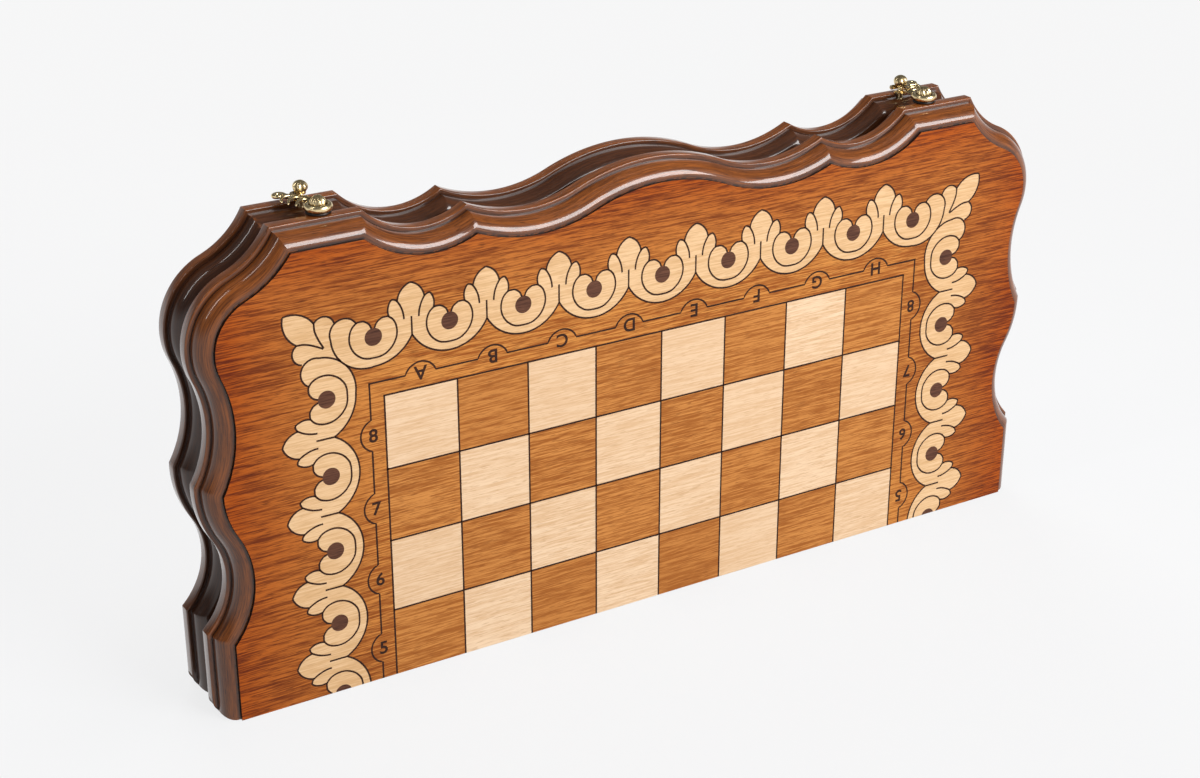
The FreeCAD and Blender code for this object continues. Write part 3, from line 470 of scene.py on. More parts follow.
def meeting(first, second, offset, near):
    """Where two stretches meet at each offset: on the line of centres, or at the crossing near a place."""
    offset = np.asarray(offset)[:, None]
    if near is None:
        share = first.grown(offset) / (first.grown(offset) + second.grown(offset))
        return first.centre + share * (second.centre - first.centre)
    arc, other = (second, first) if isinstance(second, Round) else (first, second)
    radius = arc.grown(offset)
    if isinstance(other, Straight):
        normal = other.normal
        level = (other.point - arc.centre) @ normal + offset
    else:
        away = other.centre - arc.centre
        length = np.linalg.norm(away)
        normal = away / length
        level = (length ** 2 + radius ** 2 - other.grown(offset) ** 2) / (2 * length)
    half = np.sqrt(radius ** 2 - level ** 2)
    aside = np.array([-normal[1], normal[0]])
    choices = [arc.centre + level * normal + sign * half * aside for sign in (1, -1)]
    gaps = [np.linalg.norm(choice - near, axis=1, keepdims=True) for choice in choices]
    return np.where(gaps[0] < gaps[1], choices[0], choices[1])


def edge_corners(offset):
    """Ends of the stretches at each outward offset, fold first."""
    offset = np.asarray(offset, float)
    flat = np.zeros_like(offset)
    ends = [np.stack([EDGE_HALF + offset, flat], axis=1)]
    ends += [meeting(STRETCHES[i], STRETCHES[i + 1], offset, NEAR[i]) for i in range(len(NEAR))]
    return ends + [np.stack([flat, EDGE_TOP + offset], axis=1)]


def short_turn(angle):
    """The same turn, by less than half a circle either way."""
    return np.remainder(angle + math.pi, 2 * math.pi) - math.pi


def edge_grid(offset, first, last):
    """Rows of edge points, one to an offset: angle runs evenly from end to end of a round stretch."""
    offset = np.asarray(offset, float)
    ends = edge_corners(offset)
    rest = edge_corners([0.0])
    runs = []
    for i in range(first, last):
        arc = STRETCHES[i]
        start, end = ends[i][:, None], ends[i + 1][:, None]
        count = max(4, round(float(np.linalg.norm(rest[i + 1] - rest[i])) / EDGE_STEP))
        share = np.linspace(0.0, 1.0, count, endpoint=False)[None, :, None]
        if isinstance(arc, Straight):
            runs.append(start + share * (end - start))
            continue
        angles = [np.arctan2(p[..., 1] - arc.centre[1], p[..., 0] - arc.centre[0]) for p in (start, end)]
        angle = angles[0] + share[..., 0] * short_turn(angles[1] - angles[0])
        ray = np.stack([np.cos(angle), np.sin(angle)], axis=-1)
        runs.append(arc.centre + arc.grown(offset)[:, None, None] * ray)
    return np.concatenate(runs + [ends[last][:, None]], axis=1)


print("edge corners at the face:", np.round(np.concatenate(edge_corners([0.0])), 1).tolist())

# %% [markdown]
# ## Stiles and top rail
# Three moulded frame pieces carry the scalloped edge of each leaf. A cabinetmaker runs one cutter along them:
# an ovolo from the face, a flat band in the middle and an ovolo to the rim. In Blender a bevelled curve could
# do that, but it would not keep the mitres; so the profile is a column of rows, each at its own outward
# distance, and the inner rows follow the tray. The grain attribute measures along the edge and across the
# profile.

# %% Moulded frame pieces
FACE = -31.65
THICK = 31.5
QUIRK = 1.75
OVOLO = 9.0
NECK = 1.25
FILLET = 0.4
BAND = 12.0
ARRIS = 0.8
RIM_ARRIS = 0.4
PANEL = 6.0
TRAY_HALF = 248.0
TRAY_TOP = 237.9
FOOT = 10.0
FOLD_ROLL = 4.35
LIP_ROWS = 4
NECK_ROW = 16
RUNGS = 9


def moulding_profile():
    """Outward distance and depth of the rows: ovolo, neck, shelf and eased band, then mirrored to the rim."""
    bend, ease, lip = [np.linspace(0.0, math.pi / 2, count) for count in (15, 6, LIP_ROWS)]
    shelf = QUIRK + OVOLO + NECK
    out = np.r_[OVOLO * np.sin(bend), OVOLO, OVOLO, OVOLO + FILLET, BAND - ARRIS + ARRIS * np.sin(ease)]
    down = np.r_[QUIRK + OVOLO * (1 - np.cos(bend)), shelf - FILLET, shelf, shelf,
                 shelf + ARRIS * (1 - np.cos(ease))]
    out = np.r_[out, out[::-1], -RIM_ARRIS * (1 - np.cos(lip))]
    down = np.r_[down, THICK - down[::-1], THICK - RIM_ARRIS * (1 - np.sin(lip))]
    return out, down


OUT, DOWN = moulding_profile()
ROWS = len(OUT)


def eased(beyond, radius):
    """Rise of a rounded edge: the radius less the height of its circle at a distance past its start."""
    return radius - np.sqrt(radius ** 2 - np.clip(beyond, 0.0, radius) ** 2)


def lowest(x, y):
    """Height of the standing face at a place: rounded up at the outer corner and along the fold."""
    return np.maximum(eased(np.abs(x) - (EDGE_HALF + BAND - FOOT), FOOT),
                      eased(y - (FACE + THICK - FOLD_ROLL), FOLD_ROLL))


def distances(points):
    """Running length along a row of points."""
    steps = np.linalg.norm(np.diff(points, axis=0), axis=1)
    return np.r_[0.0, np.cumsum(steps)]


# %% Painted shade and shell of a moulding
# Painted shade: widths of the dark lines in the quirk, the two necks and the quirk at the rim.
SHADE_WIDTHS = np.array([1.5, 0.6, 0.6, 0.6])
# Painted shade over the rim half, where the channel between the leaves lies in shade.
RIM_SHADE = 0.75
RIM_SHADE_START = 2.0


def painted_shade_marks(across):
    """Painted shade along the profile: dark in quirk and necks, and deep all over the rim half."""
    last = ROWS - LIP_ROWS - 1
    seats = across[[0, NECK_ROW, last - NECK_ROW, last]]
    crease_shade = np.exp(-((across[:, None] - seats) / SHADE_WIDTHS) ** 2).max(axis=1)
    beyond = np.clip((across - across[(last + 1) // 2]) / RIM_SHADE_START, 0.0, 1.0)
    return np.maximum(crease_shade, RIM_SHADE * beyond)


def moulded_shell(outer_edge, face_edge, tray_edge, standing):
    """Closed shell: profile rows outside, rows along rebate and tray inside, ladders across both ends."""
    knots = [0, ROWS // 8, ROWS // 2, ROWS - 1]
    inward = np.interp(np.arange(ROWS), knots, [0.0, 0.0, 1.0, 1.0])[:, None, None]
    depth = np.interp(np.arange(ROWS), knots, [QUIRK, PANEL, PANEL, THICK])
    inner_edge = face_edge + inward * (tray_edge - face_edge)
    columns = face_edge.shape[0]
    shell = np.empty((2 * ROWS, columns, 3))
    shell[:, :, [0, 2]] = np.concatenate([outer_edge, inner_edge[::-1]])
    shell[:, :, 1] = FACE + np.r_[DOWN, depth[::-1]][:, None]
    along = np.broadcast_to(distances(face_edge), (2 * ROWS, columns))
    profile = distances(np.stack([OUT, DOWN], axis=1))
    across = np.r_[profile, profile[::-1] + profile[-1]]
    if standing:
        reach = np.clip(1 - shell[:, :, 2] / NEAR[0][1], 0.0, 1.0)
        shell[:, :, 2] += reach * lowest(shell[:, :, 0], shell[:, :, 1])
    parts = [(shell, grid_faces(2 * ROWS, columns, close_rows=True))]
    grain = [np.stack([along, np.broadcast_to(across[:, None], along.shape), np.zeros(along.shape)], axis=-1)]
    # Painted shade rides on the outer rows only; the inner rows and the end caps carry none.
    marks = np.r_[painted_shade_marks(profile), np.zeros(ROWS)]
    hollow = [np.broadcast_to(marks[:, None], along.shape)]
    share = np.linspace(0.0, 1.0, RUNGS)[None, :, None]
    for end in (0, columns - 1):
        left, right = shell[:ROWS, end][:, None], shell[ROWS:, end][::-1][:, None]
        cap = left + share * (right - left)
        if standing and end == 0:
            cap[:, :, 2] = lowest(cap[:, :, 0], cap[:, :, 1])
        parts.append((cap, grid_faces(ROWS, RUNGS)))
        grain.append(cap[:, :, [2, 1, 0]])
        hollow.append(np.zeros((ROWS, RUNGS)))
    points, faces = gather(parts)
    grain = np.concatenate([g.reshape(-1, 3) for g in grain]) * MM
    return points, faces, {"along_edge": grain, "hollow": np.concatenate([h.ravel() for h in hollow])}


def mitre_foot():
    """Where the mitre from the plateau corner reaches the tray."""
    face, band = [edge_corners([d])[PLATEAU_CORNER][0] for d in (0.0, BAND)]
    return face[0] + (band[0] - face[0]) / (band[1] - face[1]) * (TRAY_TOP - face[1])


def stile_shell():
    """Right stile: from the fold to the plateau corner, with the tray's side and end as its inner line."""
    outer = edge_grid(OUT, 0, PLATEAU_CORNER)
    face = edge_grid([0.0], 0, PLATEAU_CORNER)[0]
    run = distances(face)
    turn = TRAY_TOP / (TRAY_TOP + TRAY_HALF - mitre_foot())
    share = run / run[-1]
    share[np.argmin(np.abs(share - turn))] = turn
    tray_x = np.interp(share, [0.0, turn, 1.0], [TRAY_HALF, TRAY_HALF, mitre_foot()])
    tray_z = np.interp(share, [0.0, turn, 1.0], [0.0, TRAY_TOP, TRAY_TOP])
    return moulded_shell(outer, face, np.stack([tray_x, tray_z], axis=1), True)


def rail_shell():
    """Top rail: the right half's rows and their mirror image, from mitre to mitre."""
    half = edge_grid(np.r_[OUT, 0.0], PLATEAU_CORNER, CREST_MIDDLE)
    both = np.concatenate([half * [-1.0, 1.0], half[:, -2::-1]], axis=1)
    outer, face = both[:-1], both[-1]
    tray_x = face[:, 0] * mitre_foot() / face[-1, 0]
    return moulded_shell(outer, face, np.stack([tray_x, np.full(len(face), TRAY_TOP)], axis=1), False)


# %% Stiles and rails on both leaves
stile = stile_shell()
shells = {"right_stile": (stile, 1.0), "left_stile": (stile, -1.0), "top_rail": (rail_shell(), 1.0)}
for leaf, turn in LEAVES.items():
    for name, ((points, faces, marks), flip) in shells.items():
        placed = turned(points * [flip, 1.0, 1.0], turn)
        add_piece(f"{leaf}_moulded_{name}", placed, faces, f"{leaf}_leaf", WOODS["moulding"],
                  [f"{leaf}_{name}"], marks=marks)

# %% [markdown]
# ## Woods on the CAD pieces
# The panels, squares, inlays, points and fold rails are right as they are, so they keep their CAD shapes and
# only get a finish.

# %% Finishes for the CAD pieces
CAD_WOODS = {"chess_panel": "border_wood", "light_squares": "light_squares", "dark_squares": "dark_squares",
             "scroll_inlay": "light_wood", "scroll_dots": "dot_wood", "backgammon_panel": "field_wood",
             "light_points": "light_wood", "dark_points": "dot_wood", "fold_rail": "frame_wood"}
finishes = {f"{leaf}_{name}": WOODS[wood] for leaf in LEAVES for name, wood in CAD_WOODS.items()}
finishes.update({name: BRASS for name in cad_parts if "_hinge_" in name})
for node, material in finishes.items():
    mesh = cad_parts[node].data
    mesh.materials.clear()
    mesh.materials.append(material)
print("dressed", len(finishes), "CAD pieces")

# %% [markdown]
# ## Burnt line work
# Every inlay, the squares and the border are outlined with a burnt line about a millimetre wide. It could be
# painted in the material, but then the exported mesh would lose it; so each line is a very low strip with a
# four-sided profile carried along its path, sitting on the face by a few hundredths of a millimetre.

# %% Strips along paths
LINE = 1.15
LINE_RISE = 0.06
LINE_SINK = 0.03
LINE_SPANS = np.array([-1.0, -0.9, 0.9, 1.0])
LINE_LIFTS = np.array([-LINE_SINK, LINE_RISE, LINE_RISE, -LINE_SINK])


def strip(path):
    """Low strip along a flat path: the profile's four corners at plus and minus half the line's width."""
    run = np.gradient(path, axis=0)
    run = run / np.linalg.norm(run, axis=1, keepdims=True)
    aside = np.stack([-run[:, 1], run[:, 0]], axis=1) * LINE / 2
    points = np.empty((4, len(path), 3))
    points[:, :, [0, 2]] = path + LINE_SPANS[:, None, None] * aside
    points[:, :, 1] = FACE - LINE_LIFTS[:, None]
    ends = np.arange(4) * len(path)
    faces = grid_faces(4, len(path), close_rows=True)
    return points, np.concatenate([faces, [ends, ends[::-1] + len(path) - 1]])


def add_burnt(name, leaf, points, faces):
    """Burnt lines or marks drawn for the front leaf, put on one of the leaves."""
    add_piece(f"{leaf}_{name}", turned(points, LEAVES[leaf]), faces, f"{leaf}_leaf",
              WOODS["burnt_line"])


def kept_runs(path, level):
    """The runs of a path on which the level isn't below zero, each cut where the level crosses zero."""
    inside = level >= 0.0
    cuts = np.flatnonzero(np.diff(inside))
    share = level[cuts] / (level[cuts] - level[cuts + 1])
    crossings = path[cuts] + share[:, None] * (path[cuts + 1] - path[cuts])
    nothing = path[:0]
    runs = zip([nothing, *crossings], np.split(path, cuts + 1), [*crossings, nothing],
               np.split(inside, cuts + 1))
    return [np.vstack([start, run, end]) for start, run, end, keep in runs if keep[0] and len(run) > 1]


def circle_through(start, middle, end):
    """Centre and radius of the circle through three points."""
    a, b, c = [np.asarray(p, float) for p in (start, middle, end)]
    centre = np.linalg.solve(2 * np.array([b - a, c - a]), [b @ b - a @ a, c @ c - a @ a])
    return centre, np.linalg.norm(a - centre)


def arc_through(start, middle, end, count=14):
    """Points of the circle through three points, from the first to the last by even angles."""
    centre, radius = circle_through(start, middle, end)
    angles = [math.atan2(*(np.asarray(p) - centre)[::-1]) for p in (start, middle, end)]
    sweep = short_turn(angles[1] - angles[0]) + short_turn(angles[2] - angles[1])
    angle = angles[0] + np.linspace(0.0, sweep, count)
    return centre + radius * np.stack([np.cos(angle), np.sin(angle)], axis=1)


def bulged(start, end, sag, count=12):
    """Arc between two points that bows to the left of its run by the sag."""
    start, end = np.asarray(start, float), np.asarray(end, float)
    run = (end - start) / np.linalg.norm(end - start)
    middle = (start + end) / 2 + sag * np.array([-run[1], run[0]])
    return arc_through(start, middle, end, count)


def smooth_path(points, per_span=8):
    """Smooth curve: on each span a cubic whose end slopes are half the step between the neighbours."""
    points = np.asarray(points, float)
    slopes = np.gradient(points, axis=0)
    t = np.linspace(0.0, 1.0, per_span, endpoint=False)[None, :, None]
    a, b = points[:-1, None], points[1:, None]
    u, v = slopes[:-1, None], slopes[1:, None]
    curve = a * (2 * t ** 3 - 3 * t ** 2 + 1) + u * (t ** 3 - 2 * t ** 2 + t)
    curve = curve + b * (3 * t ** 2 - 2 * t ** 3) + v * (t ** 3 - t ** 2)
    return np.vstack([curve.reshape(-1, points.shape[1]), points[-1:]])


# %% [markdown]
# ## The scroll border
# A row of bowls with apple-shaped eyes and three-petal crests runs along the top and both sides; a slanted
# leaf fills each corner. It is a traditional border, so one motif is drawn about its dot and repeated: turned
# for the sides, closed with a curl where a row ends.

# %% Lines of one motif
PITCH = 46.2
HALF_PITCH = PITCH / 2
ROW_RISE = 35.7
ROW_SIDE = 33.9
SIDE_DROP = 1.7
LAST = 4
BOWL = 17.2
BOWL_JOINT = 3.3
JOINT_TOP = 7.4
PETAL_ROOT = (13.4, 9.8)
PETAL_TIP = (11.7, 19.0)
CREST_ROOT = (8.2, 17.6)
CREST_TIP = (0.0, 27.2)
VEIN = ((5.7, 13.0), (4.5, 6.5))
BOW = 1.9
CURL_OUT = (24.9, 3.0)
CURL_TOP = (17.3, 14.1)
APPLE = [(0.9, 5.1), (2.2, 7.8), (5.0, 9.9), (7.35, 10.2), (9.7, 9.8), (12.6, 7.0), (14.1, 2.4), (13.7, -2.6),
         (11.2, -7.4), (7.2, -10.8), (3.6, -12.0), (0.0, -12.2)]


def from_joint(flip, place):
    """A place measured inwards from the joint between two motifs, and up from the dots."""
    return flip * (HALF_PITCH - place[0]), place[1]


def palmette_lines(flip):
    """Bowl, crest, petal, petal vein and the joint between two bowls, on one side of a motif."""
    tip, root, petal, shoulder = [from_joint(flip, p) for p in (CREST_TIP, CREST_ROOT, PETAL_TIP, PETAL_ROOT)]
    sag = -flip * BOW
    depth = BOWL - BOWL_JOINT
    radius = (HALF_PITCH ** 2 + depth ** 2) / (2 * depth)
    turn = math.asin(HALF_PITCH / radius) / 2
    middle = (flip * radius * math.sin(turn), -BOWL + radius * (1 - math.cos(turn)))
    lines = [arc_through((0.0, -BOWL), middle, (flip * HALF_PITCH, -BOWL_JOINT), 24), bulged(tip, root, sag),
             bulged(root, petal, sag / 4), bulged(petal, shoulder, sag / 1.5)]
    lines.append(arc_through(root, *[from_joint(flip, place) for place in VEIN]))
    if flip > 0:
        lines.append(np.array([(HALF_PITCH, -BOWL_JOINT), (HALF_PITCH, JOINT_TOP)]))
    return lines


def curl_low(flip):
    """Three points of the curl's lower arc: under the dot, halfway round and outermost."""
    bend = math.sqrt(0.5)
    return (0.0, -BOWL), (flip * CURL_OUT[0] * bend, -BOWL * bend), (flip * CURL_OUT[0], CURL_OUT[1])


def curl_lines(flip):
    """The end curl of a row, on one side of its last motif."""
    low = curl_low(flip)
    top = (flip * CURL_TOP[0], CURL_TOP[1])
    return [arc_through(*low, 24), arc_through(low[-1], top, from_joint(flip, PETAL_ROOT), 18)]


def motif_lines(ends):
    """All lines of a motif about its dot; ends names the sides that close with a curl."""
    lines = []
    for flip in (1, -1):
        lines += curl_lines(flip) if flip in ends else palmette_lines(flip)
        lines.append(smooth_path(np.array(APPLE) * [flip, 1.0], 6))
    return lines


def motif_places():
    """Every motif of a leaf: its dot, its quarter turns and the sides that close with a curl."""
    places = []
    for k in range(-LAST, LAST + 1):
        places.append(((k * PITCH, GRID_TOP + ROW_RISE), 0, tuple(s for s in (1, -1) if k == LAST * s)))
    for flip in (1, -1):
        for k in range(LAST + 1):
            dot = (flip * (HALF_GRID + ROW_SIDE), k * PITCH - SIDE_DROP)
            places.append((dot, flip, (-flip,) if k == LAST else ()))
    return places


def turned_flat(path, quarters):
    """A flat path turned by quarter turns: outward becomes sideways."""
    if quarters == 0:
        return path
    return quarters * np.stack([path[:, 1], -path[:, 0]], axis=1)


# %% Corner leaf and the whole border
LEAF_TIP, LEAF_BELLY, LEAF_NECK = (52.2, 0.0), (44.0, 6.8), (34.9, 7.4)
LEAF_PETAL, LEAF_HEEL = (33.0, 13.4), (25.0, 14.0)
LEAF_VEIN = [LEAF_NECK, (31.5, 4.4), (26.7, 2.1), (20.7, 0.2)]


def corner_lines(flip):
    """Outlines of the slanted corner leaf and its two petals, about the line midway between two end dots."""
    last_top = np.array([LAST * PITCH, GRID_TOP + ROW_RISE])
    last_side = np.array([HALF_GRID + ROW_SIDE, LAST * PITCH - SIDE_DROP])
    middle = (last_top + last_side) / 2

    def spots(places, side):
        """Places along the leaf's line and to one side of it, on the face."""
        ways = [np.array([p[0] - side * p[1], p[0] + side * p[1]]) * math.sqrt(0.5) for p in places]
        return [(middle + way) * [flip, 1.0] for way in ways]

    lines = []
    for side in (1, -1):
        lines.append(arc_through(*spots((LEAF_TIP, LEAF_BELLY, LEAF_NECK), side)))
        lines.append(arc_through(*spots((LEAF_NECK, LEAF_PETAL, LEAF_HEEL), side), 18))
        lines.append(smooth_path(spots(LEAF_VEIN, side), 6))
    return lines


scroll_lines = []
for centre, quarters, ends in motif_places():
    for path in motif_lines(ends):
        placed = turned_flat(path, quarters) + centre
        level = placed[:, 1]
        if quarters and ends:
            curl, radius = circle_through(*curl_low(quarters))
            curl = curl + [quarters * LAST * PITCH, GRID_TOP + ROW_RISE]
            level = np.linalg.norm(placed - curl, axis=1) - radius
        scroll_lines += kept_runs(placed, level)
for flip in (1, -1):
    scroll_lines += corner_lines(flip)
print(len(scroll_lines), "scroll lines")

# %% [markdown]
# ## Border line and grid
# A single line frames the squares and bows out round every letter and number, and the squares are parted by
# lines. The border is built as one path per side, so the bows and the straight bits join without a gap.

# %% Border and grid lines
BORDER_X = 188.6
BORDER_TOP = 186.5
BOW_HALF = 9.4
BOW_RISE = 6.6
FIRST_RANK = GRID_TOP - SQUARE / 2
FOLD_GAP = 0.05


def bowed_line(start, end, stations):
    """Line of distances along a side: straight, with a round bow of the given half width at every station."""
    runs = [np.array([[start, 0.0]])]
    for at in stations:
        runs.append(arc_through((at - BOW_HALF, 0.0), (at, BOW_RISE), (at + BOW_HALF, 0.0), 18))
    runs.append(np.array([[end, 0.0]]))
    return np.vstack(runs)


files = (np.arange(8) - 3.5) * SQUARE
ranks = FIRST_RANK - np.arange(4) * SQUARE
grid_lines = [bowed_line(-BORDER_X - LINE / 2, BORDER_X + LINE / 2, files) + [0.0, BORDER_TOP]]
side_line = bowed_line(-BORDER_TOP, 0.0, -ranks)
for flip in (1, -1):
    grid_lines.append(np.stack([flip * (BORDER_X + side_line[:, 1]), -side_line[:, 0]], axis=1))
for x in -HALF_GRID + np.arange(9) * SQUARE:
    grid_lines.append(np.array([(x, 0.0), (x, GRID_TOP)]))
for z in GRID_TOP - np.arange(4) * SQUARE:
    grid_lines.append(np.array([(-HALF_GRID - LINE / 2, z), (HALF_GRID + LINE / 2, z)]))
points, faces = gather([strip(path) for path in scroll_lines + grid_lines])
points[:, 2] = np.maximum(points[:, 2], FOLD_GAP)
for leaf in LEAVES:
    add_burnt("line_work", leaf, points, faces)

# %% [markdown]
# ## Letters and numbers
# Files and ranks are marked with plain letters and numbers, those on the far side turned half round for the
# other player. Text becomes a mesh first, is centred and scaled by its own box, and only then goes to its
# place.

# %% Lettering
LETTER_HEIGHT = 8.3
LETTER_Z = 186.3
DIGIT_X = 187.6
STROKE_DEPTH = 0.02
STROKE_SPREAD = 0.022


def glyph(character):
    """Points and faces of one character, its box centred and as high as a letter, slightly thick."""
    text = bpy.data.curves.new("glyph", "FONT")
    text.body = character
    text.extrude = STROKE_DEPTH
    text.offset = STROKE_SPREAD
    holder = add_object("glyph", text)
    bpy.context.view_layer.update()
    mesh = bpy.data.meshes.new_from_object(holder.evaluated_get(bpy.context.evaluated_depsgraph_get()))
    bpy.data.objects.remove(holder)
    bpy.data.curves.remove(text)
    points = np.array([vertex.co for vertex in mesh.vertices])
    faces = [np.array(face.vertices) for face in mesh.polygons]
    bpy.data.meshes.remove(mesh)
    low, high = points.min(axis=0), points.max(axis=0)
    points = (points - (low + high) / 2) * LETTER_HEIGHT / (high[1] - low[1])
    points[:, 2] = np.sign(points[:, 2]) * LINE_RISE
    return points, faces


def lettering(characters):
    """Points and faces of many characters, each with its place on the face and -1 if it is turned round."""
    points, faces = [], []
    for character, x, z, turn in characters:
        flat, shapes = glyph(character)
        start = sum(len(placed) for placed in points)
        faces += [(shape + start).tolist() for shape in shapes]
        points.append(np.stack([x + turn * flat[:, 0], FACE - flat[:, 2], z + turn * flat[:, 1]], axis=1))
    return np.concatenate(points), np.array(faces, dtype=object)


MARKS = {"front": ("ABCDEFGH", "8765"), "rear": ("HGFEDCBA", "1234")}
for leaf, (letters, numbers) in MARKS.items():
    marks = [(name, x, LETTER_Z, -1) for name, x in zip(letters, files)]
    for number, z in zip(numbers, ranks):
        marks += [(number, -DIGIT_X, z, 1), (number, DIGIT_X, z, -1)]
    add_burnt("lettering", leaf, *lettering(marks))

# %% [markdown]
# ## Latch hardware
# Each latch is a cast hook that turns on a domed screw of the front leaf and catches a flower-headed post on
# the rear leaf. Casting blends everything softly, so all of it is made from round things: lathe shapes whose
# radius ripples into petals, and tubes of changing thickness along smooth paths. The recess attribute of each
# surface comes from the same ripple.

# %% Lathe shapes and tubes
AROUND = 64
FINGERTIP = 0.98


def lathe(radius, height, petals=0, ripple=0.0, twist=0.0):
    """Surface of revolution; the radius grows by ripple times the cosine of the twisted petal angle."""
    angle = np.linspace(0.0, 2 * math.pi, AROUND, endpoint=False)[None, :]
    radius, height = np.asarray(radius, float)[:, None], np.asarray(height, float)[:, None]
    ripple, twist = [np.broadcast_to(v, len(radius))[:, None] for v in (ripple, twist)]
    wave = np.cos(petals * angle + twist)
    swung = radius * (1 + ripple * wave)
    level = np.broadcast_to(height, swung.shape)
    points = np.stack([swung * np.cos(angle), swung * np.sin(angle), level], axis=-1)
    strength = np.abs(ripple) / max(float(np.abs(ripple).max()), 1e-9)
    recess = (np.clip(-np.sign(ripple) * wave, 0.0, 1.0) * strength) ** 1.5
    return points, grid_faces(len(radius), AROUND, close_columns=True), recess.ravel()


def tube(path, wide, high, ribs=0, rib_depth=0.0, around=20):
    """Tube along a path in space: an oval section, level crosswise, ribbed above, closed at its ends."""
    run = np.gradient(path, axis=0)
    run = run / np.linalg.norm(run, axis=1, keepdims=True)
    aside = np.stack([run[:, 1], -run[:, 0], np.zeros(len(path))], axis=1)
    aside = aside / np.linalg.norm(aside, axis=1, keepdims=True)
    up = np.cross(aside, run)
    angle = np.linspace(0.0, 2 * math.pi, around, endpoint=False)
    groove = np.where(np.sin(angle) > 0, np.cos(ribs * np.pi * np.cos(angle)), 1.0)
    scale = 1 + rib_depth * (groove - 1) / 2
    across = np.cos(angle)[None, :, None] * wide[:, None, None] * aside[:, None]
    rise = (np.sin(angle) * scale)[None, :, None] * high[:, None, None] * up[:, None]
    ends = [path[k:k + 1, None].repeat(around, 1) for k in (0, len(path) - 1)]
    points = np.concatenate([ends[0], path[:, None] + across + rise, ends[1]])
    recess = np.broadcast_to((1 - groove) / 2, points.shape[:2])
    return points, grid_faces(len(points), around, close_columns=True), recess.ravel()


def girths(count, knots, sizes, share):
    """Thickness along a tube: sizes between knots, swelling from nothing and closing like a fingertip."""
    t = np.linspace(0.0, 1.0, count)
    near_end = np.clip(np.minimum(t, 1 - t) / share, 0.0, 1.0)
    return np.interp(t, knots, sizes) * np.sqrt(1 - (1 - near_end) ** 2 * FINGERTIP)


def joined(parts):
    """Points, faces and recess of several brass surfaces."""
    points, faces = gather([part[:2] for part in parts])
    return points, faces, {"recess": np.concatenate([part[2] for part in parts])}


# %% The hook
LATCH_X = 204.0
LATCH_Y = -11.7
SPAN = -2 * LATCH_Y
BAND_TOP = EDGE_TOP + BAND
WASHER = 1.5
PLATE = 3.0
HOOK_FOOT = WASHER + 0.05
SEAT = WASHER + PLATE + 0.1
BORE = 1.95
RING = 7.8
RIM = 1.5
RING_HIGH = 4.1
DISH_FLOOR = (4.4, 1.5)
DISH_SHADE = [0.3, 0.6, 0.9, 0.9, 0.9, 0.0]
ARM = [(0.4, 5.5, 0.0), (0.9, 11.0, 0.3), (-0.6, 15.6, 0.5), (-3.2, 19.6, 0.3), (-4.3, SPAN, 0.0),
       (-3.2, SPAN + 3.3, 0.0), (0.5, SPAN + 4.1, 0.0), (4.9, SPAN + 4.0, 0.0)]
ARM_WIDE = ([0.0, 0.2, 0.6, 0.8, 1.0], [2.6, 2.3, 2.0, 1.8, 1.5], 0.04)
ARM_HIGH = ([0.0, 1.0], [1.45, 1.45], 0.04)
BARBS = [((0.2, 13.0), (-3.4, 13.0), (-7.0, 11.0), (-9.0, 8.0)),
         ((-1.4, 18.3), (-5.6, 18.2), (-9.6, 16.0), (-11.6, 12.6)),
         ((-3.6, 22.6), (-7.6, 22.6), (-11.8, 21.2), (-13.2, 17.6))]
BARB_GIRTH = ([0.0, 0.6, 1.0], [0.9, 0.85, 0.75], 0.12)
BARB_LIFT = 0.4
BARB_ARCH = 0.9
LEAD = [(-3.4, SPAN - 3.4, 0.0), (-5.6, SPAN - 1.2, 0.3), (-7.9, SPAN + 0.6, 0.4)]
GRIP = (-11.6, SPAN + 2.9, 0.35)
GRIP_TURN = 2.9 * math.pi
GRIP_COIL = (3.1, 0.5)
GRIP_RISE = 0.9
GRIP_GIRTH = ([0.0, 0.3, 1.0], [1.4, 1.65, 0.9], 0.05)
GRIP_FLAT = 0.95


def dish_ring():
    """Dished ring of the hook: a fat rounded rim round a sunk floor with a hole."""
    bend = np.linspace(-math.pi / 2, math.radians(165), 22)
    edge, level = DISH_FLOOR
    radius = np.r_[BORE, RING - RIM + RIM * np.cos(bend), edge, BORE, BORE]
    height = np.r_[0.0, RING_HIGH / 2 * (1 + np.sin(bend)), level, level, 0.0]
    points, faces, _ = lathe(radius, height)
    shade = np.r_[np.zeros(len(radius) - len(DISH_SHADE)), DISH_SHADE]
    return points, faces, np.repeat(shade, AROUND)


def hook_parts():
    """Left hook about its pivot: dish, ribbed arm with its finger, three barbs and a curled grip."""
    middle = np.array([0.0, 0.0, PLATE / 2])
    arm = smooth_path(np.array(ARM) + middle, 12)
    wide, high = girths(len(arm), *ARM_WIDE), girths(len(arm), *ARM_HIGH)
    parts = [dish_ring(), tube(arm, wide, high, ribs=3, rib_depth=0.35, around=28)]
    for barb in BARBS:
        flat = smooth_path(barb)
        along = np.linspace(0.0, 1.0, len(flat))
        lift = BARB_LIFT + BARB_ARCH * (np.sin(math.pi * along) - along ** 2)
        girth = girths(len(flat), *BARB_GIRTH)
        parts.append(tube(np.column_stack([flat, lift]) + middle, girth, girth))
    turn = np.linspace(0.0, GRIP_TURN, 60)
    coil = np.interp(turn, [0.0, GRIP_TURN], GRIP_COIL)
    curl = np.stack([coil * np.cos(turn), coil * np.sin(turn), GRIP_RISE * turn / GRIP_TURN], axis=1)
    curl = curl + GRIP + middle
    lead = smooth_path(np.vstack([np.array(LEAD) + middle, curl[:1]]))
    path = np.vstack([lead[:-1], curl])
    girth = girths(len(path), *GRIP_GIRTH)
    parts.append(tube(path, girth, GRIP_FLAT * girth))
    points, faces, marks = joined(parts)
    return points + [0.0, 0.0, HOOK_FOOT], faces, marks


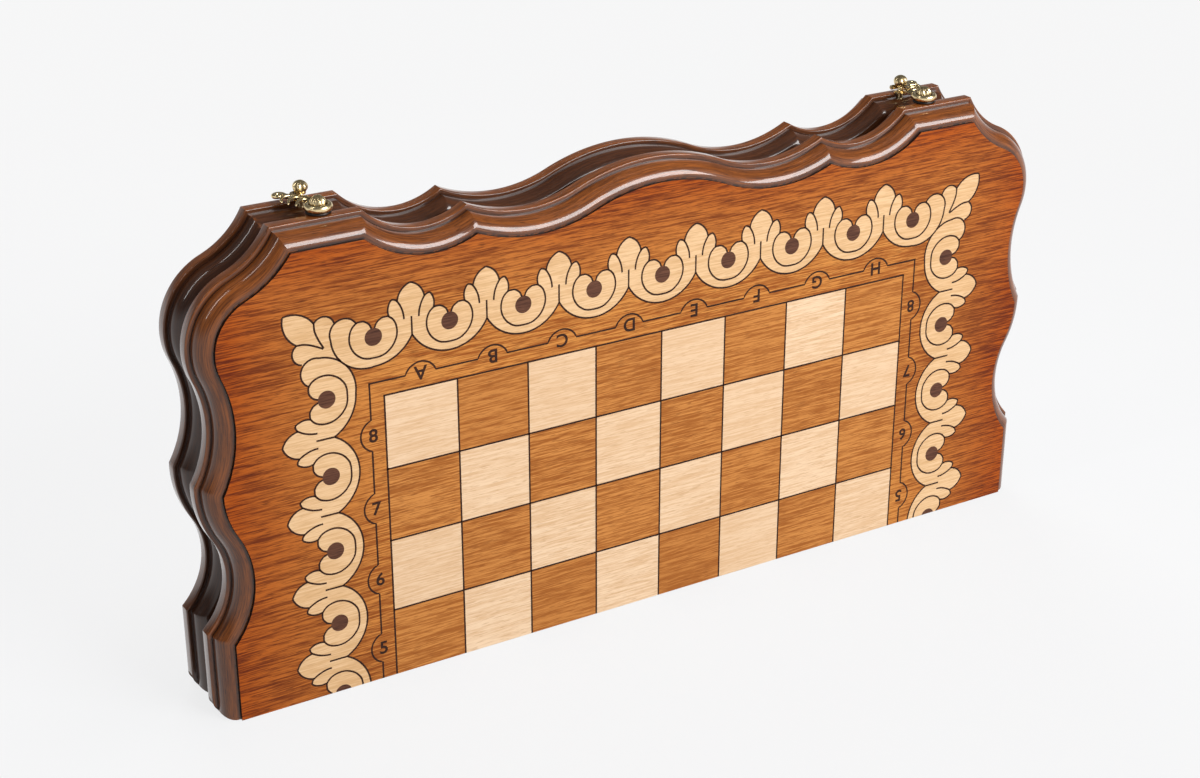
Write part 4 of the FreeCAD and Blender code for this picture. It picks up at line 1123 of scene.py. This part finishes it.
# %% Screw, washer and keeper
WASHER_EDGE = (6.6, 0.4)
SHANK = 1.9
SCREW_STEM = [(SHANK, -12.0), (SHANK, SEAT), (4.2, SEAT)]
DOME_RADIUS = 4.4
DOME_HIGH = 5.3
DOME_PETALS, DOME_RIPPLE, DOME_LEAST, DOME_TWIST = 8, 0.085, 0.03, 2.4
DOME_BUTTON = (6, 0.6)
KEEPER_STEM = [(0.0, -14.0), (SHANK, -14.0), (SHANK, 0.0), (3.9, 0.0), (4.2, 0.3), (4.2, 0.6), (3.7, 1.0),
               (2.0, 1.4), (1.55, 2.2), (1.5, 3.6)]
KNOB = 3.95
KNOB_RISE = 7.6
KNOB_START = math.pi - 0.36
KNOB_PETALS, KNOB_RIPPLE, KNOB_TWIST = 7, 0.10, 1.3
KNOB_BUTTON = (7, 0.8)


def petalled(stem, radius, height, petals, ripple, twist, button):
    """Turned stem with a petalled head on it; the ripple fades out over the rows of the button on top."""
    rows, start = button
    ripple[-rows:] *= np.linspace(start, 0.0, rows)
    plain = np.zeros((len(stem), 2))
    stem = np.hstack([stem, plain])
    radius, height, ripple, twist = np.vstack([stem, np.stack([radius, height, ripple, twist], axis=1)]).T
    return joined([lathe(radius, height, petals, ripple, twist)])


def flower_dome():
    """Domed head of the pivot screw: eight petals that fade towards a round button, and its shank."""
    bend = np.linspace(math.pi / 2, 0.0, 26)
    ripple = DOME_RIPPLE * np.sin(2 * bend) ** 2 + DOME_LEAST
    return petalled(SCREW_STEM, DOME_RADIUS * np.sin(bend), SEAT + DOME_HIGH * np.cos(bend), DOME_PETALS,
                    ripple, DOME_TWIST * (math.pi / 2 - bend), DOME_BUTTON)


def flower_post():
    """Keeper: shank, flange, waisted post and a bud-shaped knob of seven petals with a button on top."""
    bend = np.linspace(KNOB_START, 0.0, 34)
    ripple = KNOB_RIPPLE * np.clip(np.sin(1.15 * bend), 0, 1) ** 0.7
    return petalled(KEEPER_STEM, KNOB * np.sin(bend), KNOB_RISE + KNOB * np.cos(bend), KNOB_PETALS,
                    ripple, KNOB_TWIST * (math.pi - bend), KNOB_BUTTON)


def washer_ring():
    """Flat washer with eased edges."""
    ease = np.linspace(-math.pi / 2, math.pi / 2, 9)
    radius = np.r_[BORE, WASHER_EDGE[0] + WASHER_EDGE[1] * np.cos(ease), BORE, BORE]
    height = np.r_[0.0, WASHER / 2 + WASHER / 2 * np.sin(ease), WASHER, 0.0]
    return joined([lathe(radius, height)])


for side, sign in (("left", -1.0), ("right", 1.0)):
    pieces = {
        "hook": (hook_parts(), LATCH_Y, -sign, f"{side}_hook", BRASS),
        "pivot_screw": (flower_dome(), LATCH_Y, 1.0, "front_leaf", BRASS),
        "washer": (washer_ring(), LATCH_Y, 1.0, "front_leaf", DARK_BRASS),
        "keeper": (flower_post(), -LATCH_Y, 1.0, "rear_leaf", BRASS),
    }
    for name, ((points, faces, marks), y, flip, body, material) in pieces.items():
        placed = points * [flip, 1.0, 1.0] + [sign * LATCH_X, y, BAND_TOP]
        add_piece(f"{side}_cast_{name}", placed, faces, body, material, [f"{side}_{name}"],
                  CAST_CREASE, marks)

# %% [markdown]
# ## Lines on the backgammon field
# Inside, the points get the same burnt outline as the inlays outside: two strips to a point, on the tray
# floor, each a straight line from the rim to the tip.

# %% Field lines
FIELD_DEPTH = 9.0
FOLD_WALL = 15.0
POINT_LENGTH = 200.0
POINT_PITCH = (TRAY_TOP - FOLD_WALL) / 6
POINT_GAP = 1.0


def field_lines():
    """Outlines of twelve points, moved from the face to the tray floor and facing into the tray."""
    paths = []
    for flip in (1.0, -1.0):
        for k in range(6):
            low = FOLD_WALL + k * POINT_PITCH + POINT_GAP / 2
            high = low + POINT_PITCH - POINT_GAP
            tip = (flip * (TRAY_HALF - POINT_LENGTH), (low + high) / 2)
            paths += [np.array([(flip * TRAY_HALF, z), tip]) for z in (low, high)]
    points, faces = gather([strip(path) for path in paths])
    points[:, 1] = 2 * FACE + FIELD_DEPTH - points[:, 1]
    return points, faces


points, faces = field_lines()
for leaf in LEAVES:
    add_burnt("field_lines", leaf, points, faces)

# %% [markdown]
# ## Floor, light and camera
# The photo studio is white and soft: a pale floor, a large light at the front right, weaker ones overhead and
# behind, and a thin strip on the left that draws the bright lines along the mouldings. The floor is mostly
# clear to the camera and lets light through, so that a leaf folded down below it still shows; it keeps a
# faint shadow.

# %% Floor
FLOOR_REACH = 1.2
FLOOR_LEVEL = -0.0004
FLOOR_PAINT = (0.66, 0.67, 0.685, 1.0)
FLOOR_CLEAR = 0.86
FLOOR_TINT = (0.90, 0.93, 1.0, 1.0)
FLOOR_GLOW = 0.01
FLOOR_FADE = (0.45, 1.1)


def make_floor():
    """Plane just under the standing face: faint and fading to the camera, quite clear to all other rays."""
    mesh = bpy.data.meshes.new("studio_floor")
    ways = ((-1, -1), (1, -1), (1, 1), (-1, 1))
    corners = [(x * FLOOR_REACH, y * FLOOR_REACH, FLOOR_LEVEL) for x, y in ways]
    mesh.from_pydata(corners, [], [(0, 1, 2, 3)])
    material, tree, shader = new_material("pale floor")
    tree.nodes.remove(shader)
    far = add_node(tree, "VectorMath", {0: coordinate(tree)}, operation="LENGTH")["Value"]
    near = spread(tree, far, *FLOOR_FADE, 1.0, 0.0)
    shown = maths(tree, "MULTIPLY", add_node(tree, "LightPath")["Is Camera Ray"], near)
    share = maths(tree, "MULTIPLY_ADD", shown, FLOOR_CLEAR - 1.0, 1.0)
    paint = add_node(tree, "BsdfDiffuse", {"Color": FLOOR_PAINT})[0]
    clear = add_node(tree, "BsdfTransparent")[0]
    light = {"Color": FLOOR_TINT, "Strength": maths(tree, "MULTIPLY", shown, FLOOR_GLOW)}
    glow = add_node(tree, "Emission", light)[0]
    mix = add_node(tree, "MixShader", {0: share, 1: paint, 2: clear})[0]
    whole = add_node(tree, "AddShader", {0: mix, 1: glow})[0]
    fill(tree, tree.nodes["Material Output"], {0: whole})
    mesh.materials.append(material)
    floor = add_object("studio_floor", mesh)
    return floor


print("floor:", make_floor().name)

# %% World and lamps
WHITE = (0.925, 0.925, 0.928, 1.0)
SKY, GROUND, DIM = 0.12, 0.25, 0.15
HORIZON = (-0.1, 0.1)
DIM_RISE = (-0.05, 0.25)
LAMPS = {
    "overhead": ((0.25, -0.25, 1.7), (0.0, 0.0, 0.2), (1.3, 0.55), 16.0, False),
    "front_right": ((1.2, -2.3, 1.3), (0.0, 0.0, 0.15), (1.8, 1.2), 93.0, True),
    "rear_fill": ((0.6, 2.3, 1.2), (0.0, 0.0, 0.15), (1.6, 0.8), 50.0, False),
    "left_strip": ((-1.2, -0.1, 1.25), (-0.25, 0.0, 0.2), (0.05, 1.1), 3.4, True),
}


def make_world():
    """White to camera, glossy and transmission rays, dim to glossy rays that rise; else two plain levels."""
    world = bpy.data.worlds.new("white studio")
    scene.world = world
    world.use_nodes = True
    tree = world.node_tree
    ray = add_node(tree, "LightPath")
    seen = maths(tree, "MAXIMUM", ray["Is Camera Ray"], ray["Is Glossy Ray"])
    seen = maths(tree, "MAXIMUM", seen, ray["Is Transmission Ray"])
    rise = parts_of(tree, coordinate(tree, "Generated"))[2]
    room = maths(tree, "MAXIMUM", spread(tree, rise, *DIM_RISE, 1.0, DIM), ray["Is Camera Ray"])
    level = spread(tree, rise, *HORIZON, GROUND, SKY)
    strength = spread(tree, seen, 0.0, 1.0, level, room)
    fill(tree, tree.nodes["Background"], {"Color": WHITE, "Strength": strength})


def add_lamp(name, place, target, size, power, mirrored):
    """Soft rectangular lamp that faces a target; mirrored says whether lacquer and brass show it."""
    lamp = bpy.data.lights.new(name, "AREA")
    lamp.shape = "RECTANGLE"
    lamp.size, lamp.size_y = size
    lamp.energy = power
    holder = add_object(name, lamp)
    way = Vector(place) - Vector(target)
    holder.matrix_world = Matrix.Translation(place) @ way.to_track_quat("Z", "Y").to_matrix().to_4x4()
    holder.visible_glossy = mirrored


make_world()
for name, settings in LAMPS.items():
    add_lamp(name, *settings)
print("world and", len(LAMPS), "lamps")

# %% Camera
CAMERA_PLACE = (-0.6077, -0.97605, 0.6407)
CAMERA_DOWN = 24.025
CAMERA_TURN = -30.906
camera = bpy.data.cameras.new("photo_camera")
camera.sensor_width = 36.0
camera.lens = 61.9
holder = add_object("photo_camera", camera)
holder.location = CAMERA_PLACE
holder.rotation_euler = (math.radians(90 - CAMERA_DOWN), 0.0, math.radians(CAMERA_TURN))
scene.camera = holder
scene.view_settings.view_transform = "Standard"
